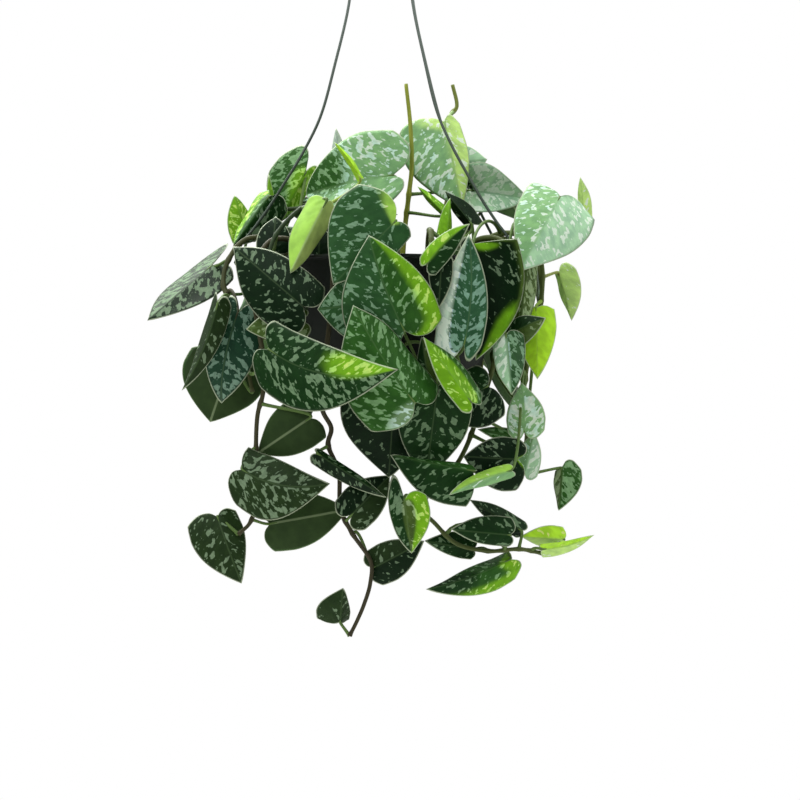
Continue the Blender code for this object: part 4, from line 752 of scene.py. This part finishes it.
def blade_mesh(leaf, turned, rows, columns, look, draw):
    """A leaf's blade: the sheet with its margin in waves, its side veins pressed in and its midrib as a groove,
    given a thickness that runs out at the margin. It returns points, faces, finishes and the points' marks."""
    v, u = np.linspace(0.0, 1.0, rows), np.linspace(-1.0, 1.0, columns)
    points, flat = sheet(leaf, v, u)
    across, along = flat[..., 0], flat[..., 1]
    normal = np.cross(np.gradient(points, axis=1), np.gradient(points, axis=0))
    normal[0] = normal[1].mean(axis=0)
    normal[-1] = normal[-2].mean(axis=0)
    normal = unit(normal)
    outward = 1.0 if (normal @ leaf["toward"]).sum() > 0 else -1.0
    if turned:
        outward = -outward
    v, u = v[:, None], u[None, :]
    rim = np.concatenate([flat[:, 0], flat[:, -1]])
    edge = np.linalg.norm(flat[:, :, None] - rim[None, None], axis=-1).min(axis=-1)
    out = eased(v, EDGE_AT, EDGE_OUT)
    edge = np.minimum(edge, (1 - np.abs(u)) * out * np.where(u < 0, leaf["left"][0], leaf["right"][0]) * 0.9)
    waves = draw.uniform(1.3, 2.6, 2)
    phases = draw.uniform(0.0, 1.0, 2)
    size = max(leaf["left"][0], leaf["right"][0]) / USUAL_WIDTH
    wave = np.where(u < 0, *(np.sin(2 * np.pi * (waves[k] * v + phases[k])) for k in (0, 1)))
    wave = wave * np.abs(u) ** 2.4 * MARGIN_WAVE * size
    bulge = VEIN_PRESS * np.cos(2 * np.pi * (along - VEIN_SLANT * np.abs(across)) / (7.0 * size + 1.5))
    veins = bulge * (1 - np.abs(u)) * np.clip(np.abs(across) / 3.0, 0, 1)
    groove = -RIB_GROOVE * size * np.exp(-((across / RIB_WIDTH) ** 2)) * (1 - v)
    points = points + normal * ((wave * (v < 0.999) + veins + groove) * outward)[..., None]
    half = 0.5 * BLADE * np.sqrt(np.clip(edge / THIN_EDGE, 0.0, 1.0))
    lift = normal * (half * outward)[..., None]

    top = np.arange(rows * columns).reshape(rows, columns)
    top[0], top[-1] = top[0, 0], top[-1, 0]
    below = top + rows * columns
    below[[0, -1]] = top[[0, -1]]
    below[:, [0, -1]] = top[:, [0, -1]]
    verts = np.concatenate([(points + lift).reshape(-1, 3), (points - lift).reshape(-1, 3)])
    faces, which = [], []
    for index, finish, flip in ((top, 0, outward < 0), (below, 1, outward > 0)):
        quads = np.stack([index[:-1, :-1], index[:-1, 1:], index[1:, 1:], index[1:, :-1]], axis=-1)
        first, last = (1, 2, 3), (0, 1, 2)
        if flip:
            quads, first, last = quads[..., ::-1], last, first
        faces += quads[1:-1].reshape(-1, 4).tolist() + quads[0][:, first].tolist() + quads[-1][:, last].tolist()
        which += [finish] * ((rows - 1) * (columns - 1))

    tones, patches, *parts = look
    left, _, right = tones.partition("/")
    share = np.clip((u + 0.12) / 0.24, 0, 1)[..., None]
    # The green of each half comes from the table's tones, which carry painted light and shade.
    green = GREENS_WITH_PAINTED_LIGHT[left] * (1 - share) + GREENS_WITH_PAINTED_LIGHT[right or left] * share
    green = np.broadcast_to(green, (rows, columns, 3)) * draw.uniform(0.92, 1.08)
    # Each part's tone is laid over the green: painted light where the blade is lit through or shines, painted shade
    # in a hollow.
    for tone, u_at, v_at, u_reach, v_reach in parts:
        away = np.hypot((u - u_at) / u_reach, (v - v_at) / v_reach)
        share = np.clip((1.25 - away) / 0.55, 0, 1)[..., None]
        share = share * share * (3 - 2 * share)
        green = green * (1 - share) + GREENS_WITH_PAINTED_LIGHT[tone] * share
    # The underside takes a share of the upper green, and so a little of its painted light and shade.
    back = 0.72 * GREENS_WITH_PAINTED_LIGHT["plain_back"] + 0.28 * green
    if turned:
        green, back, patches = np.broadcast_to(GREENS_WITH_PAINTED_LIGHT["mid"], green.shape), green, 0.5
    seed = np.full((rows, columns), draw.uniform(0.0, SEEDS))
    place = np.stack([across, along, seed], axis=-1).reshape(-1, 3)
    marks = {
        "green": np.concatenate([green.reshape(-1, 3), back.reshape(-1, 3)]),
        "place": np.concatenate([place, place]),
        "edge": np.tile(edge.ravel(), 2),
        "patches": np.full(2 * rows * columns, patches),
    }
    return verts, faces, which, marks


def length_along(path):
    """How far each point of a path is from its start, measured along it."""
    return np.concatenate([[0.0], np.cumsum(np.linalg.norm(np.diff(path, axis=0), axis=1))])


def bar_mesh(path, radius, sides, tone, seed):
    """A stem or a stalk as a tube, with the marks that its finish reads."""
    verts, faces = tube(path, radius, sides)
    count = len(verts)
    around = np.tile(np.arange(sides) * 1.0, len(path))
    marks = {
        "green": np.broadcast_to(srgb(*tone)[:3], (count, 3)),
        "place": np.stack([around, np.repeat(length_along(path), sides), np.full(count, seed)], axis=-1),
        "edge": np.full(count, FAR_FROM_EDGE), "patches": np.zeros(count),
    }
    return verts, faces, [2] * len(faces), marks


# The upper side: satin, with patches where a noise that runs along the side veins is high, a thin line of midrib
# and a pale margin. The halves are so far apart in the noise that their patches differ.
ISLAND_SCALE = 0.24
REGION_SCALE = 0.075
FLECK_SCALE = 0.5
MOTTLE_SCALE = 0.16
REGION_SHARE = 0.30
COVER_SHARE = 0.205
PATCH_SLANT = 0.6
HALVES_APART = 57.0

upper = Finish("leaf_upper")
across, along, seed = upper.split(upper.attribute("place"))
beside = upper.math("ABSOLUTE", across)
vein = upper.math("SUBTRACT", along, upper.math("MULTIPLY", beside, PATCH_SLANT))
drift = upper.math("ADD", seed, upper.math("MULTIPLY", upper.math("GREATER_THAN", across, 0.0), HALVES_APART))
flow = upper.joined(upper.math("MULTIPLY", beside, 0.9), vein, drift)
islands = upper.noise(flow, ISLAND_SCALE, 2.4, 0.3, 0.45)
regions = upper.noise(flow, REGION_SCALE, 1.0)
flecks = upper.noise(flow, FLECK_SCALE, 1.5, 0.3)
amount = upper.math("MULTIPLY", upper.attribute("patches", "Fac"), COVER_SHARE)
level = upper.math("ADD", upper.math("ADD", islands, amount), upper.math("MULTIPLY", regions, REGION_SHARE))
big = upper.ramp(level, 0.79, 0.825)
small = upper.ramp(upper.math("ADD", flecks, amount), 0.785, 0.82, 0.0, 0.75)
edge = upper.attribute("edge", "Fac")
inland = upper.math("MULTIPLY", upper.ramp(edge, 0.8, 1.6), upper.ramp(beside, 0.4, 1.4))
patch = upper.math("MULTIPLY", upper.math("MAXIMUM", big, small), inland)
green = upper.clouded(upper.attribute("green", "Color"), upper.noise(flow, MOTTLE_SCALE, 3.0),
                      (0.82, 0.84, 0.86), (1.16, 1.14, 1.1))
silver = upper.mix(1.0, upper.mix(1.0, green, (2.4, 1.85, 4.0, 1.0), "MULTIPLY"), (0.17, 0.235, 0.14, 1.0), "ADD")
silver = upper.mix(1.0, silver, (0.78, 0.90, 0.76, 1.0), "DARKEN")
silver = upper.mix(upper.ramp(flecks, 0.3, 0.7, 0.72, 1.0), green, silver)
coat = upper.mix(patch, green, silver)
coat = upper.mix(upper.ramp(beside, 0.15, 0.75, 0.14, 0.0), coat, srgb(130, 160, 110))
coat = upper.mix(upper.ramp(edge, 0.25, 0.85, 0.8, 0.0), coat, srgb(196, 208, 178))
upper.surface(Base_Color=coat, Roughness=upper.ramp(patch, 0.0, 1.0, 0.40, 0.52), Specular_IOR_Level=0.1)
upper.bump(upper.math("ADD", upper.math("MULTIPLY", patch, 0.4), upper.noise(flow, 2.2, 2.0)), 0.00025, 0.6)

# The underside: dull and plain, with a paler midrib and margin.
under = Finish("leaf_under")
across, along, seed = under.split(under.attribute("place"))
cloud = under.noise(under.joined(across, along, seed), 0.12, 3.0)
back = under.clouded(under.attribute("green", "Color"), cloud, (0.84, 0.86, 0.84), (1.14, 1.12, 1.1))
back = under.mix(under.ramp(under.math("ABSOLUTE", across), 0.3, 1.1, 0.4, 0.0), back, srgb(176, 196, 150))
back = under.mix(under.ramp(under.attribute("edge", "Fac"), 0.2, 0.7, 0.6, 0.0), back, srgb(190, 202, 168))
under.surface(Base_Color=back, Roughness=0.62, Specular_IOR_Level=0.15)
under.bump(cloud, 0.00025, 0.5)

# Stems and stalks: green to brown, with fine streaks along them.
bark = Finish("stem_skin")
around, far, seed = bark.split(bark.attribute("place"))
streak = bark.noise(bark.joined(around, bark.math("MULTIPLY", far, 0.12), seed), 0.8, 3.0)
skin = bark.clouded(bark.attribute("green", "Color"), streak, (0.8, 0.8, 0.78), (1.15, 1.15, 1.12))
bark.surface(Base_Color=skin, Roughness=0.5, Specular_IOR_Level=0.2)
bark.bump(streak, 0.0002)

STEM_TONE = (84, 96, 52)
STALK_TONE = (98, 126, 66)
STALK_TONES = {"rolled_young": (176, 206, 96), "top_big": (150, 184, 120), "lime": (140, 176, 60),
               "pale_hanging": (150, 160, 90), "dark_left": (52, 70, 44), "left_blue": (66, 66, 44)}
MARKS = {"green": ("FLOAT_COLOR", "color"), "place": ("FLOAT_VECTOR", "vector"), "edge": ("FLOAT", "value"),
         "patches": ("FLOAT", "value")}
SEEN_GRID = (30, 25)
HIDDEN_GRID = (20, 15)
STALK_SIDES = 10
STEM_SIDES = 12

# A leaf lies where it fits the CAD leaf best, of these shifts along the line of sight. The CAD's points lie on
# other rows of a leaf that is shorter than SHORT_LEAF. A hidden leaf is drawn until it fits to CLOSE.
SEED = 7
SHIFTS = (0, 3, 6, -3, 9, 13, -6, 17, 22, 27, -9, 33, 40, -13, -17, -22, -27, -33, -40)
SHORT_LEAF = 45.0
DRAWS = 200
CLOSE = 0.9

# A stalk starts at the knot, and bends by the lift, that bring it nearest to the CAD stalk.
KNOTS_TRIED = 10
KNOT_FREE = 9.0
LIFTS = (0.0, 0.3, -0.25, 0.6)


def stem_line(foot, way, steps):
    """A stem's path: straight up through the soil, then a smooth curve through its points."""
    return np.vstack([(*foot, STEM_FOOT), curve_through([(*foot, STEM_OUT_OF_SOIL), *way], steps)])


def stalk_start(leaf, ends, line, solid):
    """The knot and the lift whose stalk has its middle nearest to rings of the CAD solid's points."""
    base = ends[0]
    knots = sorted(line[4:], key=lambda p: np.linalg.norm(p - base))[:KNOTS_TRIED]
    best = None
    for knot in knots:
        if np.linalg.norm(knot - base) < KNOT_FREE:
            continue
        for lift in LIFTS:
            middles = stalk_way(ends, knot, lift, (0.3, 0.65))
            gaps = np.linalg.norm(middles[:, None] - solid[None], axis=-1)
            rings = solid[np.argsort(gaps, axis=1)[:, :4 if leaf["seen"] else 3]].mean(axis=1)
            fit = np.minimum(np.linalg.norm(rings - middles, axis=1), 3.0).mean()
            if best is None or fit < best[0] - 1e-6:
                best = (fit, knot, lift)
    return best[1:]


draw = random.Random(SEED)
solids, lines, leaves = {}, {}, {}
for stem, _, foot, way, rows in STEMS:
    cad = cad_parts[stem].data
    corners = np.empty(len(cad.vertices) * 3, np.float32)
    cad.vertices.foreach_get("co", corners)
    solids[stem] = np.unique(np.round(corners.reshape(-1, 3) / MM + (0.0, 0.0, HANG_Z), 2), axis=0)
    lines[stem] = stem_line(foot, way, 2)
    leaves[stem] = []
    for row in rows:
        short = np.linalg.norm(sight(*row[1]) - sight(*row[2])) < SHORT_LEAF
        tries = [seen_leaf(row, shift) for shift in SHIFTS]
        fits = [misfit(leaf, (0.42 if short else 0.54, 1.0), solids[stem]) for leaf in tries]
        leaves[stem].append(tries[int(np.argmin(fits))])
for stem, count, shares, *ranges in HIDDEN:
    for k in range(count):
        share = shares[0] + (shares[1] - shares[0]) * (k + 0.5) / count
        knot = lines[stem][int(len(lines[stem]) * share)]
        for attempt in range(DRAWS):
            leaf = drawn_leaf(knot, draw, ranges)
            if misfit(leaf, (0.60, 1.0), solids[stem]) < CLOSE:
                leaves[stem].append(leaf)
                break

chance = np.random.default_rng(SEED)
for stem, tone, foot, way, _ in STEMS:
    parts = []
    starts = []
    for leaf in leaves[stem]:
        turned = leaf["name"] in UNDERSIDE
        ends = stalk_ends(leaf, turned)
        start, lift = stalk_start(leaf, ends, lines[stem], solids[stem])
        starts.append(start)
        line = stalk_way(ends, start, lift, np.linspace(0.0, 1.0, 15))
        line = np.vstack([line, ends[1] + ends[3] * 0.35])
        thick = np.interp(np.linspace(0.0, 1.0, len(line)), (0, 0.08, 0.4, 0.9, 1), (1.6, 1.25, 1.05, 1.0, 0.3))
        stalk_tone = STALK_TONES.get(leaf["name"], STALK_TONE)
        parts.append(bar_mesh(line, thick, STALK_SIDES, stalk_tone, chance.uniform(0, SEEDS)))
        if leaf["seen"]:
            look, grid = leaf["look"], SEEN_GRID
        else:
            look = HIDDEN_TONES[chance.integers(len(HIDDEN_TONES))], chance.uniform(0.35, 0.75)
            grid = HIDDEN_GRID
        parts.append(blade_mesh(leaf, turned, *grid, look, chance))
    line = stem_line(foot, way, 10)
    far = length_along(line)
    thick = STEM_RADIUS * (1.0 - 0.35 * far / far[-1])
    for start in starts:
        thick = thick + 0.45 * np.exp(-((np.linalg.norm(line - start, axis=1) / 2.2) ** 2))
    parts.insert(0, bar_mesh(line, np.minimum(thick, 2.5), STEM_SIDES, tone or STEM_TONE, chance.uniform(0, SEEDS)))
    which = [finish for part in parts for finish in part[2]]
    verts, faces = together([part[:2] for part in parts])
    made = piece(stem + "_leafy", verts, faces, [upper, under, bark], "foliage", stem, which=which)
    for key, (kind, field) in MARKS.items():
        values = np.concatenate([part[3][key] for part in parts])
        if key == "green":
            values = np.hstack([values, np.ones((len(values), 1))])
        layer = made.data.attributes.new(key, kind, "POINT")
        layer.data.foreach_set(field, values.astype(np.float32).ravel())
